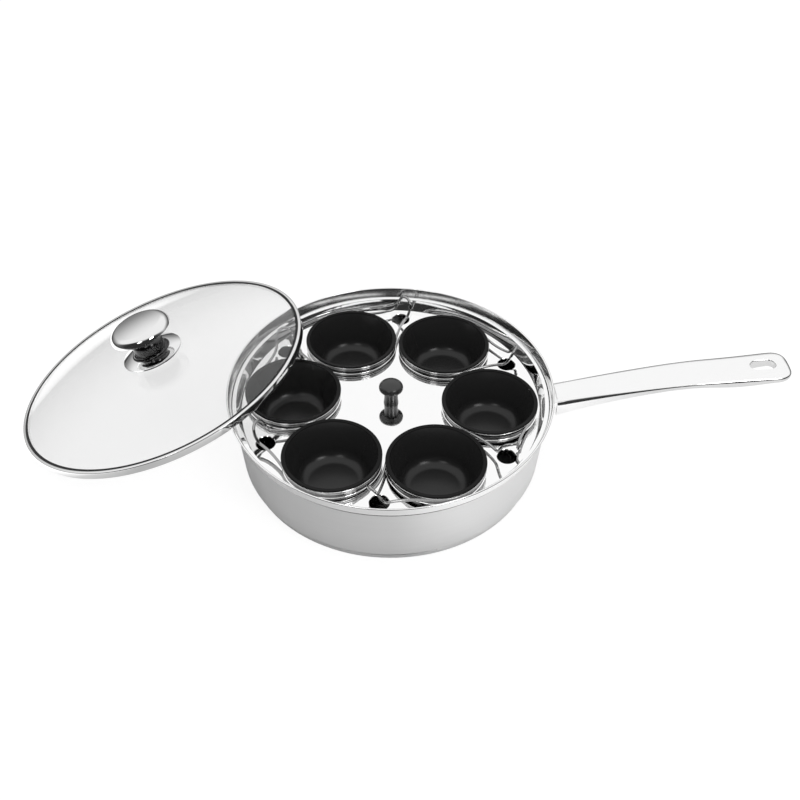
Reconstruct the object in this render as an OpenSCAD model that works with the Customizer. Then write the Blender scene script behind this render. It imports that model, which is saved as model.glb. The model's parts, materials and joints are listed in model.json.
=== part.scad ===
// Six-cup egg poacher: a shallow steel pan with a long handle, a drop-in
// mirror tray, six coated cups in wire carriers, and a domed glass lid that
// leans with its edge on the table and its skirt on the pan's left rim.
// Millimetres, +Z up. The origin is the middle of the base, on the table,
// and the handle points along +X.

/* [Pan] */
// Height of the rim above the table
pan_h = 72; // [64:0.5:84]
// Outer diameter of the flared rim
rim_d = 276; // [272:1:284]
// Flare of the lip out past the top of the wall, on each side
lip_flare = 4.7; // [3.5:0.1:6]
// Taper of the wall from its top in to its foot, on each side
wall_taper = 3.3; // [2:0.1:5]
// Depth of the ledge that carries the tray, below the rim
lip_depth = 9.5; // [8:0.1:11]
// Thickness of the pan's steel sheet
pan_sheet = 1.0; // [0.8:0.1:1.2]
// Radius of the corner between wall and floor
foot_corner_r = 4; // [3:0.5:6]

/* [Base] */
// Step from the foot of the wall in to the base's edge, on each side
base_inset = 3.2; // [2.8:0.1:8]
// Thickness of the aluminium heat disc
core_t = 5; // [3:0.5:7]
// Thickness of the base cap's sheet
cap_sheet = 0.8; // [0.6:0.1:1]
// Height of the dark joint left between the cap's edge and the pan
cap_joint = 2; // [0.5:0.1:2.5]

/* [Handle] */
// Length of the grip from its root to its tip
grip_len = 197; // [170:1:220]
// Distance from the pan's wall to the root of the grip
root_gap = 8; // [5.2:0.1:10]
// Drop from the pan's rim to the grip's upper face at the root
root_drop = 11.7; // [11:0.1:16]
// Rise of the upper face from root to tip
grip_rise = 26; // [15:0.2:40]
// Width of the grip at the root
root_w = 28.2; // [27:0.2:33]
// Width of the grip at its widest, by the hang slot
tip_w = 35.4; // [30:0.2:38]
// Depth of the grip at the root
root_t = 16; // [13:0.2:17]
// Depth of the grip at its waist
waist_t = 6; // [5.4:0.1:7]
// Extra depth of the finger swell beyond the waist
swell_t = 3.2; // [1:0.1:4]
// Wall of the pressed handle halves
grip_sheet = 1.3; // [1:0.1:1.6]
// Radius of the rounded corners at the tip
tip_corner_r = 13; // [10:0.5:15]
// Length of the hang slot
slot_l = 21; // [16:0.5:26]
// Width of the hang slot
slot_w = 11; // [8:0.5:13]
// Distance from the slot's middle to the tip
slot_inset = 23; // [20:0.5:28]
// Thickness of the welded saddle plate
saddle_t = 2.4; // [2:0.1:3]
// Height of the saddle plate
saddle_h = 15; // [12:0.5:17]
// Length of the tongue inside the grip
tongue_l = 30; // [20:1:45]

/* [Insert tray] */
// Thickness of the tray's sheet
tray_sheet = 0.8; // [0.6:0.1:1]
// Clearance between the tray's flange and the lip round it
flange_clear = 0.5; // [0.3:0.1:0.9]
// Width of the flat flange
flange_w = 3.2; // [2.8:0.1:4]
// Depth of the tray's floor below its flange
tray_depth = 11; // [9:0.2:13]
// Inward slope of the tray's wall, measured across
tray_slope = 3.4; // [2.5:0.1:4.5]
// Turn of the first cup from the handle
tray_turn = -6.5; // [-12:0.5:6]
// Height of the raised collar round each cup hole
collar_h = 3.3; // [2.4:0.1:4.2]
// Diameter of the steam holes
steam_d = 16; // [10:0.5:18]
// Distance from the pan's wall to the middle of a steam hole
steam_inset = 19.1; // [18.4:0.1:20.8]

/* [Tray knob] */
// Diameter of the knob's head
knob_d = 20.6; // [17:0.2:24]
// Diameter of the knob's stem at its waist
knob_waist_d = 11.6; // [9:0.2:12.4]
// Diameter of the knob's foot
knob_foot_d = 12.6; // [11:0.2:14]
// Height of the knob
knob_h = 23; // [19:0.5:28]
// Diameter of the fixing screws' shanks
screw_d = 5; // [4:0.5:5]

/* [Cups] */
// Gap between the rolled rims of neighbouring cups
cup_gap = 2.3; // [1.5:0.1:4]
// Gap between a cup's rolled rim and the pan's wall
cup_edge_gap = 8.3; // [8:0.1:11]
// Inner depth of a cup
cup_depth = 34; // [28:0.5:38]
// Wall of a cup
cup_wall = 1.2; // [0.8:0.1:1.5]
// Thickness of the rolled rim
bead_d = 2.4; // [2:0.1:2.8]
// Diameter of the flat floor inside a cup
cup_floor_d = 40; // [34:0.5:43]
// Radius of the curve between floor and wall
cup_corner_r = 12; // [8:0.5:13]

/* [Cup carriers] */
// Diameter of the carrier wire
wire_d = 2.4; // [1.8:0.1:2.6]
// How far the lifting loop reaches past the cup's rim
loop_out = 25.6; // [21:0.2:27]
// Height of the loop's top above the carrier ring
loop_rise = 16.5; // [10:0.5:18]
// Width across the loop at its bend
loop_w = 18; // [14:0.5:24]
// Angle on the ring where each leg leaves it
leg_angle = 47; // [40:1:55]

/* [Lid] */
// Clearance between the lid's rim and the pan's lip when the lid is on
lid_clear = 0.7; // [0.5:0.1:2]
// Width of the rim's flange over the glass
lid_flange_w = 2.6; // [2:0.1:4]
// Thickness of the rim's steel
lid_sheet = 0.7; // [0.5:0.1:0.9]
// Thickness of the glass
glass_t = 4.4; // [3.5:0.1:5]
// Rise of the glass dome over its edge
dome_rise = 19; // [12:0.5:26]
// How far the lid's upper edge reaches past the pan's rim
lid_lap = 29.4; // [26:0.2:33]
// Side of the pan that the lid leans on, in degrees from the handle
lid_side = 163.9; // [160:0.1:168]

/* [Lid knob] */
// Diameter of the knob's cap
cap_d = 55; // [46:0.5:60]
// Diameter of the knob's base plate
plate_d = 54.6; // [46:0.2:60]
// Height of the base plate's cone
plate_h = 4.6; // [3:0.2:6]
// Height of the neck between plate and cap
neck_h = 17; // [12:0.2:19]
// Diameter of the neck at its waist
neck_d = 26; // [20:0.5:30]
// Height of the domed cap
cap_h = 10; // [8:0.2:14]

/* [Hidden] */
$fn = 96;
// Running gap between pieces that come apart
seat_gap = 0.3;
// Sides and points that make a round corner
corner_steps = 6;

// Pan
rim_r = rim_d / 2;
wall_top_r = rim_r - lip_flare;
wall_foot_r = wall_top_r - wall_taper;
floor_z = cap_sheet + core_t;
ledge_z = pan_h - lip_depth;
lip_foot_r = wall_top_r + 0.8;
bead_r = pan_sheet / 2;
wall_turn_z = floor_z + foot_corner_r;
wall_top_z = ledge_z - 2;
function wall_r(z) =
    wall_foot_r + (wall_top_r - wall_foot_r) * (z - wall_turn_z) / (wall_top_z - wall_turn_z);

// Base
base_r = wall_foot_r - base_inset;
core_r = base_r - cap_sheet;

// Tray
tray_flange_z = ledge_z + seat_gap;
tray_top_z = tray_flange_z + tray_sheet - tray_depth;
flange_r = lip_foot_r - flange_clear;
tray_wall_r = flange_r - flange_w;
tray_floor_r = tray_wall_r - tray_slope;

// Six cups share the room inside the wall, each one gap from the next
cup_ring_r = (wall_top_r - cup_edge_gap + cup_gap / 2) / 1.5;
cup_d = cup_ring_r - cup_gap;
steam_ring_r = wall_top_r - steam_inset;
loop_reach = cup_d / 2 + loop_out;

// Cups and carriers
wire_r = wire_d / 2;
ring_z = tray_top_z + collar_h + seat_gap + wire_r;
cup_top_z = ring_z + wire_r + bead_d;
bead_ring_r = cup_d / 2 - bead_d / 2;
ring_r = cup_d / 2 - wire_r - 0.1;
cup_bottom_z = cup_top_z - cup_depth - cup_wall;
cup_neck_r = ring_r - wire_r - 0.15;
collar_r = cup_neck_r + seat_gap;
cup_floor_r = cup_floor_d / 2;
LOOP_DIR = -75.5;

// Handle
root_z = pan_h - root_drop;
root_x = wall_top_r + root_gap;
tip_x = root_x + grip_len;
slot_x = tip_x - slot_inset;
waist_u = 0.5;
swell_u0 = 0.56;
swell_u1 = 0.98;
pocket_end_u = 0.74;
widest_u = 0.92;
// How strongly the grip's rise bows up over a straight line
grip_bow = 1.65;
// Room beyond a surface that a cut runs past it
past = 2;
grip_steps = 28;

// Lid
lid_r = lip_foot_r - lid_clear;
skirt_r = lid_r - lid_flange_w + 0.4;
glass_r = lid_r - lid_sheet;
glass_z = lid_sheet + 0.1;
glass_top_z = glass_z + dome_rise + glass_t;
lid_contact = lid_r - lid_lap;
lid_lean = asin((pan_h + seat_gap) / (2 * lid_r - lid_lap));
lid_reach = sqrt(pow(rim_r, 2) - pow(skirt_r, 2) + pow(lid_contact, 2)) + lid_contact * cos(lid_lean);
lid_z = lid_r * sin(lid_lean);
knob_plate_z = glass_top_z;
knob_neck_z = knob_plate_z + plate_h;
knob_cap_z = knob_neck_z + neck_h;
plate_r = plate_d / 2;
cap_r = cap_d / 2;
neck_r = neck_d / 2;

screw_r = screw_d / 2;
bore_r = screw_r + 0.4;
tray_washer_t = 1;
seal_t = 1.6;
seal_r = 9;

// Points on an arc from angle a0 to a1
function arc(cx, cy, r, a0, a1, n = corner_steps) =
    [for (i = [0:n]) let (a = a0 + (a1 - a0) * i / n) [cx + r * cos(a), cy + r * sin(a)]];

// Points along a cubic curve with end points p0, p3 and handles p1, p2
function bezier(p0, p1, p2, p3, n, last = 0) =
    [for (i = [0:n - 1 + last]) let (t = i / n, s = 1 - t)
        s * s * s * p0 + 3 * s * s * t * p1 + 3 * s * t * t * p2 + t * t * t * p3];

function reversed(v) = [for (i = [len(v) - 1:-1:0]) v[i]];

module ring(points) { rotate_extrude() polygon(points); }

// Pan: floor, tapered wall, ledge and flared lip pressed from one sheet
module pan_body() {
    t = pan_sheet;
    outer = concat(
        [[0, floor_z]],
        arc(wall_foot_r - foot_corner_r, floor_z + foot_corner_r, foot_corner_r, -90, 0),
        [[wall_top_r, wall_top_z], [lip_foot_r + 0.9, ledge_z - 0.5], [rim_r, pan_h - bead_r]],
        arc(rim_r - bead_r, pan_h - bead_r, bead_r, 30, 180));
    inner = concat(
        [[lip_foot_r, ledge_z + 0.6], [lip_foot_r - 0.2, ledge_z], [wall_top_r - t, ledge_z],
        [wall_top_r - t, wall_top_z]],
        arc(wall_foot_r - foot_corner_r, floor_z + foot_corner_r, foot_corner_r - t, 0, -90),
        [[0, floor_z + t]]);
    color("silver") ring(concat(outer, inner));
}

// Aluminium heat disc pressed under the floor
module base_core() {
    color("darkgray") translate([0, 0, cap_sheet]) cylinder(h = core_t, r = core_r);
}

// Steel cap round the heat disc; a dark joint stays open above its edge
module base_cap() {
    edge_r = 0.5;
    color("lightgray") ring(concat(
        [[0, 0]], arc(base_r - edge_r, edge_r, edge_r, -90, 0, 4),
        [[base_r, floor_z - cap_joint], [core_r, floor_z - cap_joint], [core_r, cap_sheet],
        [0, cap_sheet]]));
}

// Height of the grip's upper face, and its depth, at fraction u of its length
function grip_top(u) = root_z + grip_rise * (grip_bow * u - (grip_bow - 1) * u * u);
function grip_depth(u) = waist_t
    + (u < waist_u ? (root_t - waist_t) * pow(1 - u / waist_u, 1.3) : 0)
    + (u > swell_u0 && u < swell_u1
        ? swell_t * pow(sin(180 * (u - swell_u0) / (swell_u1 - swell_u0)), 2) : 0);
function grip_x(u) = root_x + u * grip_len;
function grip_w(u) = root_w + (tip_w - root_w) * pow(u, 1.5);

// Side outline of the grip, drawn in at top and bottom, to fraction u_end;
// lead carries it straight back past the root
module grip_side(drop_top, drop_bottom, u_end = 1, lead = 0) {
    us = [for (i = [0:grip_steps]) u_end * i / grip_steps];
    top = [for (u = us) [grip_x(u), grip_top(u) - drop_top]];
    low = [for (u = us) [grip_x(u), grip_top(u) - grip_depth(u) + drop_bottom]];
    back = lead > 0 ? [low[0] - [lead, 0], top[0] - [lead, 0]] : [];
    polygon(concat(top, reversed(low), back));
}

// Plan outline of the grip, drawn in by inset
module grip_plan(inset = 0, u_end = 1, lead = 0) {
    us = [for (i = [0:8]) min(u_end, widest_u) * i / 8];
    w = grip_w(widest_u) / 2 - inset;
    r = tip_corner_r - inset;
    half = concat(
        lead > 0 ? [[root_x - lead, root_w / 2 - inset]] : [],
        [for (u = us) [grip_x(u), grip_w(u) / 2 - inset]],
        u_end < 1 ? [] : arc(tip_x - inset - r, w - r, r, 75, 0));
    polygon(concat(half, [for (p = reversed(half)) [p[0], -p[1]]]));
}

module side_slab(w) { rotate([90, 0, 0]) linear_extrude(height = w, center = true) children(); }

module hang_slot() {
    for (s = [-1, 1]) translate([slot_x + s * (slot_l - slot_w) / 2, 0, root_z])
        cylinder(h = grip_rise * 2, r = slot_w / 2, center = true);
    translate([slot_x, 0, root_z]) cube([slot_l - slot_w, slot_w, grip_rise * 2], center = true);
}

// Upper half: the broad top face, both side walls and the solid tip
module handle_upper() {
    color("gainsboro") difference() {
        intersection() {
            side_slab(2 * tip_w) grip_side(0, 0);
            linear_extrude(height = 2 * pan_h) grip_plan();
        }
        intersection() {
            side_slab(2 * tip_w) grip_side(grip_sheet, -past, pocket_end_u, past);
            linear_extrude(height = 2 * pan_h) grip_plan(grip_sheet, pocket_end_u, past);
        }
        translate([0, 0, grip_rise / 2]) hang_slot();
    }
}

// Lower half: a closing strip let in between the side walls
module handle_lower() {
    end_gap = 0.01;
    color("gainsboro") intersection() {
        side_slab(2 * tip_w) difference() {
            grip_side(grip_sheet, 0, pocket_end_u - end_gap);
            translate([0, grip_sheet]) grip_side(-root_t, 0, 1, past);
        }
        linear_extrude(height = 2 * pan_h) grip_plan(grip_sheet, pocket_end_u);
    }
}

// The pan's tapered wall as a solid, grown outward by extra
module wall_cone(extra = 0) {
    translate([0, 0, wall_turn_z])
        cylinder(h = wall_top_z - wall_turn_z, r1 = wall_foot_r + extra, r2 = wall_top_r + extra);
}

// Saddle plate welded to the wall, with a tapered tongue inside the grip's root
module handle_bracket() {
    plate_z = root_z - (root_t + saddle_h) / 2;
    fit = grip_sheet + seat_gap;
    color("silver") difference() {
        union() {
            intersection() {
                wall_cone(saddle_t);
                translate([wall_foot_r / 2, -root_w / 2, plate_z]) cube([wall_foot_r, root_w, saddle_h]);
            }
            side_slab(root_w - 2 * fit - seat_gap) grip_side(fit, fit, tongue_l / grip_len, root_gap + past);
        }
        wall_cone();
    }
}

function cup_angle(i) = tray_turn + 60 * i;

// Mirror tray: flange, sloped wall and floor with collared cup holes
module insert_tray() {
    t = tray_sheet;
    z = tray_top_z;
    top = tray_flange_z;
    collar_out = collar_r + 1.1;
    color("whitesmoke") difference() {
        union() {
            ring(concat(
                [[0, z - t], [tray_floor_r - 0.6, z - t], [tray_floor_r + t, z], [tray_wall_r + t, top - t],
                [tray_wall_r + t + 0.3, top], [flange_r, top], [flange_r, top + t],
                [tray_wall_r + 0.3, top + t], [tray_wall_r, top + t - 0.3], [tray_floor_r + 0.6, z + 0.8],
                [tray_floor_r - 0.6, z], [0, z]]));
            for (i = [0:5]) rotate(cup_angle(i)) translate([cup_ring_r, 0, 0])
                ring([[collar_r, z - t], [collar_out + 1.2, z - t], [collar_out + 1.2, z],
                    [collar_out, z + 1], [collar_out, z + collar_h - 0.3],
                    [collar_out - 0.3, z + collar_h], [collar_r, z + collar_h]]);
        }
        for (i = [0:5]) rotate(cup_angle(i)) {
            translate([cup_ring_r, 0, z - t - 1]) cylinder(h = collar_h + t + 2, r = collar_r);
            rotate(30) translate([steam_ring_r, 0, z - t - 1]) cylinder(h = t + 2, r = steam_d / 2);
        }
        translate([0, 0, z - t - 1]) cylinder(h = t + 2, r = bore_r);
    }
}

knob_head_h = knob_h * 0.32;
knob_bore_h = knob_h * 0.6;

// Black knob in the middle of the tray
module tray_knob() {
    z = tray_top_z;
    foot_r = knob_foot_d / 2;
    waist_r = knob_waist_d / 2;
    head_r = knob_d / 2;
    head_z = z + knob_h - knob_head_h;
    stem_h = head_z - z - 1.8;
    brim = 1.6;
    color("#2b2b2b") ring(concat(
        [[bore_r, z], [foot_r, z]],
        [for (i = [0:8]) let (s = i / 8)
            [waist_r + (foot_r - waist_r) * pow(2 * s - 1, 2), z + 0.6 + stem_h * s]],
        [[head_r - 0.9, head_z], [head_r, head_z + brim / 2]],
        [for (i = [0:6]) let (a = 90 * i / 6)
            [head_r * cos(a), head_z + brim + (knob_head_h - brim) * sin(a)]],
        [[0, z + knob_bore_h], [bore_r, z + knob_bore_h]]));
}

// Screw with a flat head and a plain shank up to z_tip
module screw(z_head, head_r, head_h, z_tip) {
    translate([0, 0, z_head]) cylinder(h = head_h, r = head_r);
    translate([0, 0, z_head]) cylinder(h = z_tip - z_head, r = screw_r);
}

// Screw that holds the knob from under the tray
module tray_knob_screw() {
    head_h = 2.4;
    under = tray_top_z - tray_sheet - tray_washer_t;
    color("silver") screw(under - head_h, 4.4, head_h, tray_top_z + knob_bore_h - 0.5);
}

module tray_knob_washer() {
    color("silver") translate([0, 0, tray_top_z - tray_sheet - tray_washer_t]) difference() {
        cylinder(h = tray_washer_t, r = 6.5);
        translate([0, 0, -1]) cylinder(h = tray_washer_t + 2, r = bore_r);
    }
}

module at_cup(i) { rotate(cup_angle(i)) translate([cup_ring_r, 0, 0]) children(); }

// Poaching cup with a rolled rim
module cup(i) {
    w = cup_wall;
    b = bead_d / 2;
    base = cup_bottom_z;
    taper = atan2(cup_neck_r - cup_floor_r - cup_corner_r * 0.96, cup_top_z - base - cup_corner_r);
    rim_z = cup_top_z - b;
    color("#26272a") at_cup(i) ring(concat(
        [[0, base]], arc(cup_floor_r, base + cup_corner_r, cup_corner_r, -90, -taper, 8),
        [[cup_neck_r, rim_z - b], [bead_ring_r, rim_z - b]],
        arc(bead_ring_r, rim_z, b, -60, 120, 8),
        [[cup_neck_r - w, cup_top_z - 0.6]],
        arc(cup_floor_r, base + cup_corner_r, cup_corner_r - w, -taper, -90, 8),
        [[0, base + w]]));
}

// Centre line of one carrier wire: round the cup, out along two legs, up to the loop
function ring_point(a) = [ring_r * cos(a), ring_r * sin(a), 0];
function leg_points(s) = let (
    p0 = ring_point(s * leg_angle),
    bend = [loop_reach - 9, s * loop_w / 2, 2.2],
    top = [loop_reach, 0, loop_rise])
    concat(
        bezier(p0, p0 + 14 * [sin(leg_angle), -s * cos(leg_angle), 0], bend - [9, -s * 2.6, 1.2], bend, 8),
        bezier(bend, bend + [5.5, -s * 1.2, 1.6], top - [1.5, -s * loop_w * 0.55, -0.2], top, 9));
ring_steps = 34;
CARRIER = concat(
    [for (i = [1:ring_steps - 1]) ring_point(leg_angle + (360 - 2 * leg_angle) * i / ring_steps)],
    leg_points(-1), [[loop_reach, 0, loop_rise]],
    reversed(leg_points(1)));
WIRE_SIDES = 10;
function unit(v) = v / norm(v);

// Closed round tube along a closed path
module closed_tube(path, r) {
    n = len(path);
    m = WIRE_SIDES;
    points = [for (i = [0:n - 1]) let (
        d = unit(path[(i + 1) % n] - path[(i + n - 1) % n]),
        side = unit(cross(d, [0, 0, 1])),
        up = cross(side, d))
        for (j = [0:m - 1]) path[i] + r * (cos(360 * j / m) * side + sin(360 * j / m) * up)];
    faces = [for (i = [0:n - 1], j = [0:m - 1]) let (
        k = (i + 1) % n,
        a = i * m + j, b = i * m + (j + 1) % m, c = k * m + (j + 1) % m, d = k * m + j)
        each [[a, b, c], [a, c, d]]];
    polyhedron(points, faces);
}

module cup_carrier(i) {
    color("silver") at_cup(i) translate([0, 0, ring_z]) rotate(LOOP_DIR) closed_tube(CARRIER, wire_r);
}

// The lid's own frame: skirt on z = 0, knob up, leaning on table and rim
module lid_frame() {
    rotate(lid_side) translate([lid_reach, 0, lid_z]) rotate([0, lid_lean, 0]) children();
}

function dome_z(r) = dome_rise * (1 - pow(r / glass_r, 2));
dome_steps = 16;
glass_edge = 1.2;

// Tempered glass dome with rounded edge and a hole for the knob's screw
module lid_glass() {
    rs = [for (i = [0:dome_steps]) bore_r + (glass_r - glass_edge - bore_r) * i / dome_steps];
    color([0.85, 0.93, 0.93, 0.35]) lid_frame() ring(concat(
        [for (r = rs) [r, glass_z + dome_z(r)]],
        [[glass_r - 0.1, glass_z + glass_edge], [glass_r - 0.1, glass_z + glass_t - glass_edge * 0.5]],
        [for (r = reversed(rs)) [r, glass_z + glass_t + dome_z(r)]]));
}

// Steel rim folded round the edge of the glass
module lid_rim() {
    t = lid_sheet;
    top_in = lid_r - lid_flange_w;
    flange_z = glass_z + glass_t + dome_z(top_in) + 0.05;
    fold_r = 0.9;
    color("silver") lid_frame() ring(concat(
        [[skirt_r, 0], [lid_r - 0.4, 0], [lid_r, 0.4]],
        arc(lid_r - fold_r, flange_z + t - fold_r, fold_r, 0, 90),
        [[top_in, flange_z + t], [top_in, flange_z], [lid_r - t, flange_z], [lid_r - t, t], [skirt_r, t]]));
}

hub_step = 1.5;
neck_flare = 6;
cap_bore_h = 4;

// Dished base plate of the lid's knob
module lid_knob_plate() {
    z = knob_plate_z;
    edge = 0.5;
    top = z + plate_h;
    sag = dome_z(0) - dome_z(plate_r) - 0.1;
    color("silver") lid_frame() ring([[bore_r, z], [plate_r / 2, z], [plate_r - edge, z - sag],
        [plate_r, z - sag + edge], [plate_r - edge, z + 1.1], [neck_r + 3 * hub_step, top - 2],
        [neck_r + hub_step, top], [bore_r, top]]);
}

// Waisted neck between plate and cap
module lid_knob_neck() {
    z = knob_neck_z;
    color("dimgray") lid_frame() ring(concat(
        [[bore_r, z]],
        [for (i = [0:10]) let (s = i / 10)
            [neck_r + 1.2 * (1 - s) + neck_flare * pow(s, 3), z + neck_h * s]],
        [[bore_r, z + neck_h]]));
}

// Polished cap: a low dome over a tall sloped flank
module lid_knob_cap() {
    z = knob_cap_z;
    brim = 2.4;
    edge = 0.4;
    flank_w = 3.6;
    sag = 1.8;
    steps = 8;
    dome_r = cap_r - flank_w;
    color("silver") lid_frame() ring(concat(
        [[bore_r, z], [neck_r + neck_flare + edge, z], [cap_r - 3 * edge, z + brim - 2 * edge],
        [cap_r, z + brim]],
        [for (i = [0:steps]) let (s = 1 - i / steps) [dome_r * s, z + cap_h - sag * s * s]],
        [[0, z + cap_bore_h], [bore_r, z + cap_bore_h]]));
}

// Screw up through the glass into the knob
module lid_knob_screw() {
    head_h = 2.6;
    under = glass_z + dome_z(seal_r) - seal_t;
    color("silver") lid_frame() screw(under - head_h, 5.2, head_h, knob_cap_z + cap_bore_h - 0.5);
}

// Sealing washer between the screw's head and the glass
module lid_knob_washer() {
    color("dimgray") lid_frame() translate([0, 0, glass_z + dome_z(seal_r) - seal_t]) difference() {
        cylinder(h = seal_t, r = seal_r);
        translate([0, 0, -1]) cylinder(h = seal_t + 2, r = bore_r);
    }
}

pan_body();
base_core();
base_cap();
handle_bracket();
handle_upper();
handle_lower();
insert_tray();
tray_knob();
tray_knob_screw();
tray_knob_washer();
cup(0);  // cup_1
cup(1);  // cup_2
cup(2);  // cup_3
cup(3);  // cup_4
cup(4);  // cup_5
cup(5);  // cup_6
cup_carrier(0);  // cup_carrier_1
cup_carrier(1);  // cup_carrier_2
cup_carrier(2);  // cup_carrier_3
cup_carrier(3);  // cup_carrier_4
cup_carrier(4);  // cup_carrier_5
cup_carrier(5);  // cup_carrier_6
lid_glass();
lid_rim();
lid_knob_plate();
lid_knob_neck();
lid_knob_cap();
lid_knob_screw();
lid_knob_washer();
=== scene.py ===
import json
import math

import bpy
from bpy.props import FloatProperty, FloatVectorProperty, IntProperty, PointerProperty
from mathutils import Matrix, Vector

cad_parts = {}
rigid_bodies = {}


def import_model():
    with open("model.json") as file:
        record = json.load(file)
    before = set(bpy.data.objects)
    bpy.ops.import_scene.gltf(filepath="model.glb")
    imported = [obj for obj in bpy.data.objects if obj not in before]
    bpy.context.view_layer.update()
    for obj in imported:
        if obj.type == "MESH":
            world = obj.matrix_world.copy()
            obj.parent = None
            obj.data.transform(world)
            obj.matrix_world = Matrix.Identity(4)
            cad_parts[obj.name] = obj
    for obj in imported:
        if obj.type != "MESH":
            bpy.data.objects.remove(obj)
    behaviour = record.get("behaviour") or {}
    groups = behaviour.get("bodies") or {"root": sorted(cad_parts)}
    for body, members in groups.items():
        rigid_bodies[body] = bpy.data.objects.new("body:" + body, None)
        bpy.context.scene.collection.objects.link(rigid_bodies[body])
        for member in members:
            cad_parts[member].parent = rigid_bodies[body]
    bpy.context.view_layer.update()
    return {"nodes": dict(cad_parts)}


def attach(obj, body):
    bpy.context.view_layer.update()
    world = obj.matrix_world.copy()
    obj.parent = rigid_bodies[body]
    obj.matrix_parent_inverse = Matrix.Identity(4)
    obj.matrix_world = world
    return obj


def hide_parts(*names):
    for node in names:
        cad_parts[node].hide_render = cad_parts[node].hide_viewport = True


bl_info = {
    "name": "Egg Poacher Pan",
    "version": (1, 0, 0),
    "blender": (4, 5, 0),
    "location": "View3D > Sidebar > Egg Poacher",
    "description": "Dresses a six-cup egg poacher pan with tray, cups, carriers and a leaning glass lid",
    "category": "Object",
}

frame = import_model()

CUPS = range(6)
MM = 0.001
# How far a punch or a cutter runs past the sheet that it cuts
OVERRUN = 2 * MM
# Gaps and steps that several pieces share
WIRE_TUCK = 0.1 * MM
NECK_GAP = 0.15 * MM
BORE_GAP = 0.4 * MM
GLASS_GAP = 0.1 * MM
RIM_SEAT = 0.05 * MM
SKIRT_STEP = 0.4 * MM
# Height of the fine relief on the finishes
RELIEF = 0.2 * MM
# The lid knob's flank, as shares of its width and height: steep at the brim, bent over at the shoulder
CAP_FLANK = ((0, 0), (0.06, 0.25), (0.19, 0.5), (0.38, 0.72), (0.52, 0.82), (0.66, 0.89), (0.83, 0.96))


def linear(hex_colour):
    """An sRGB hex colour as linear red, green and blue."""
    parts = [int(hex_colour[i : i + 2], 16) / 255 for i in (1, 3, 5)]
    return tuple(p / 12.92 if p <= 0.04045 else ((p + 0.055) / 1.055) ** 2.4 for p in parts)


def length(name, description, millimetres):
    """A length property, given in millimetres and kept in metres."""
    return FloatProperty(
        name=name,
        description=description,
        default=millimetres * MM,
        precision=5,
        unit="LENGTH",
        subtype="DISTANCE",
    )


def angle(name, description, degrees):
    """An angle property, given in degrees and kept in radians."""
    return FloatProperty(
        name=name, description=description, default=math.radians(degrees), unit="ROTATION", subtype="ANGLE"
    )


def colour(name, description, hex_colour):
    """A colour property, given as sRGB hex and kept linear."""
    return FloatVectorProperty(
        name=name, description=description, default=linear(hex_colour), size=3, min=0, max=1, subtype="COLOR"
    )


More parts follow.
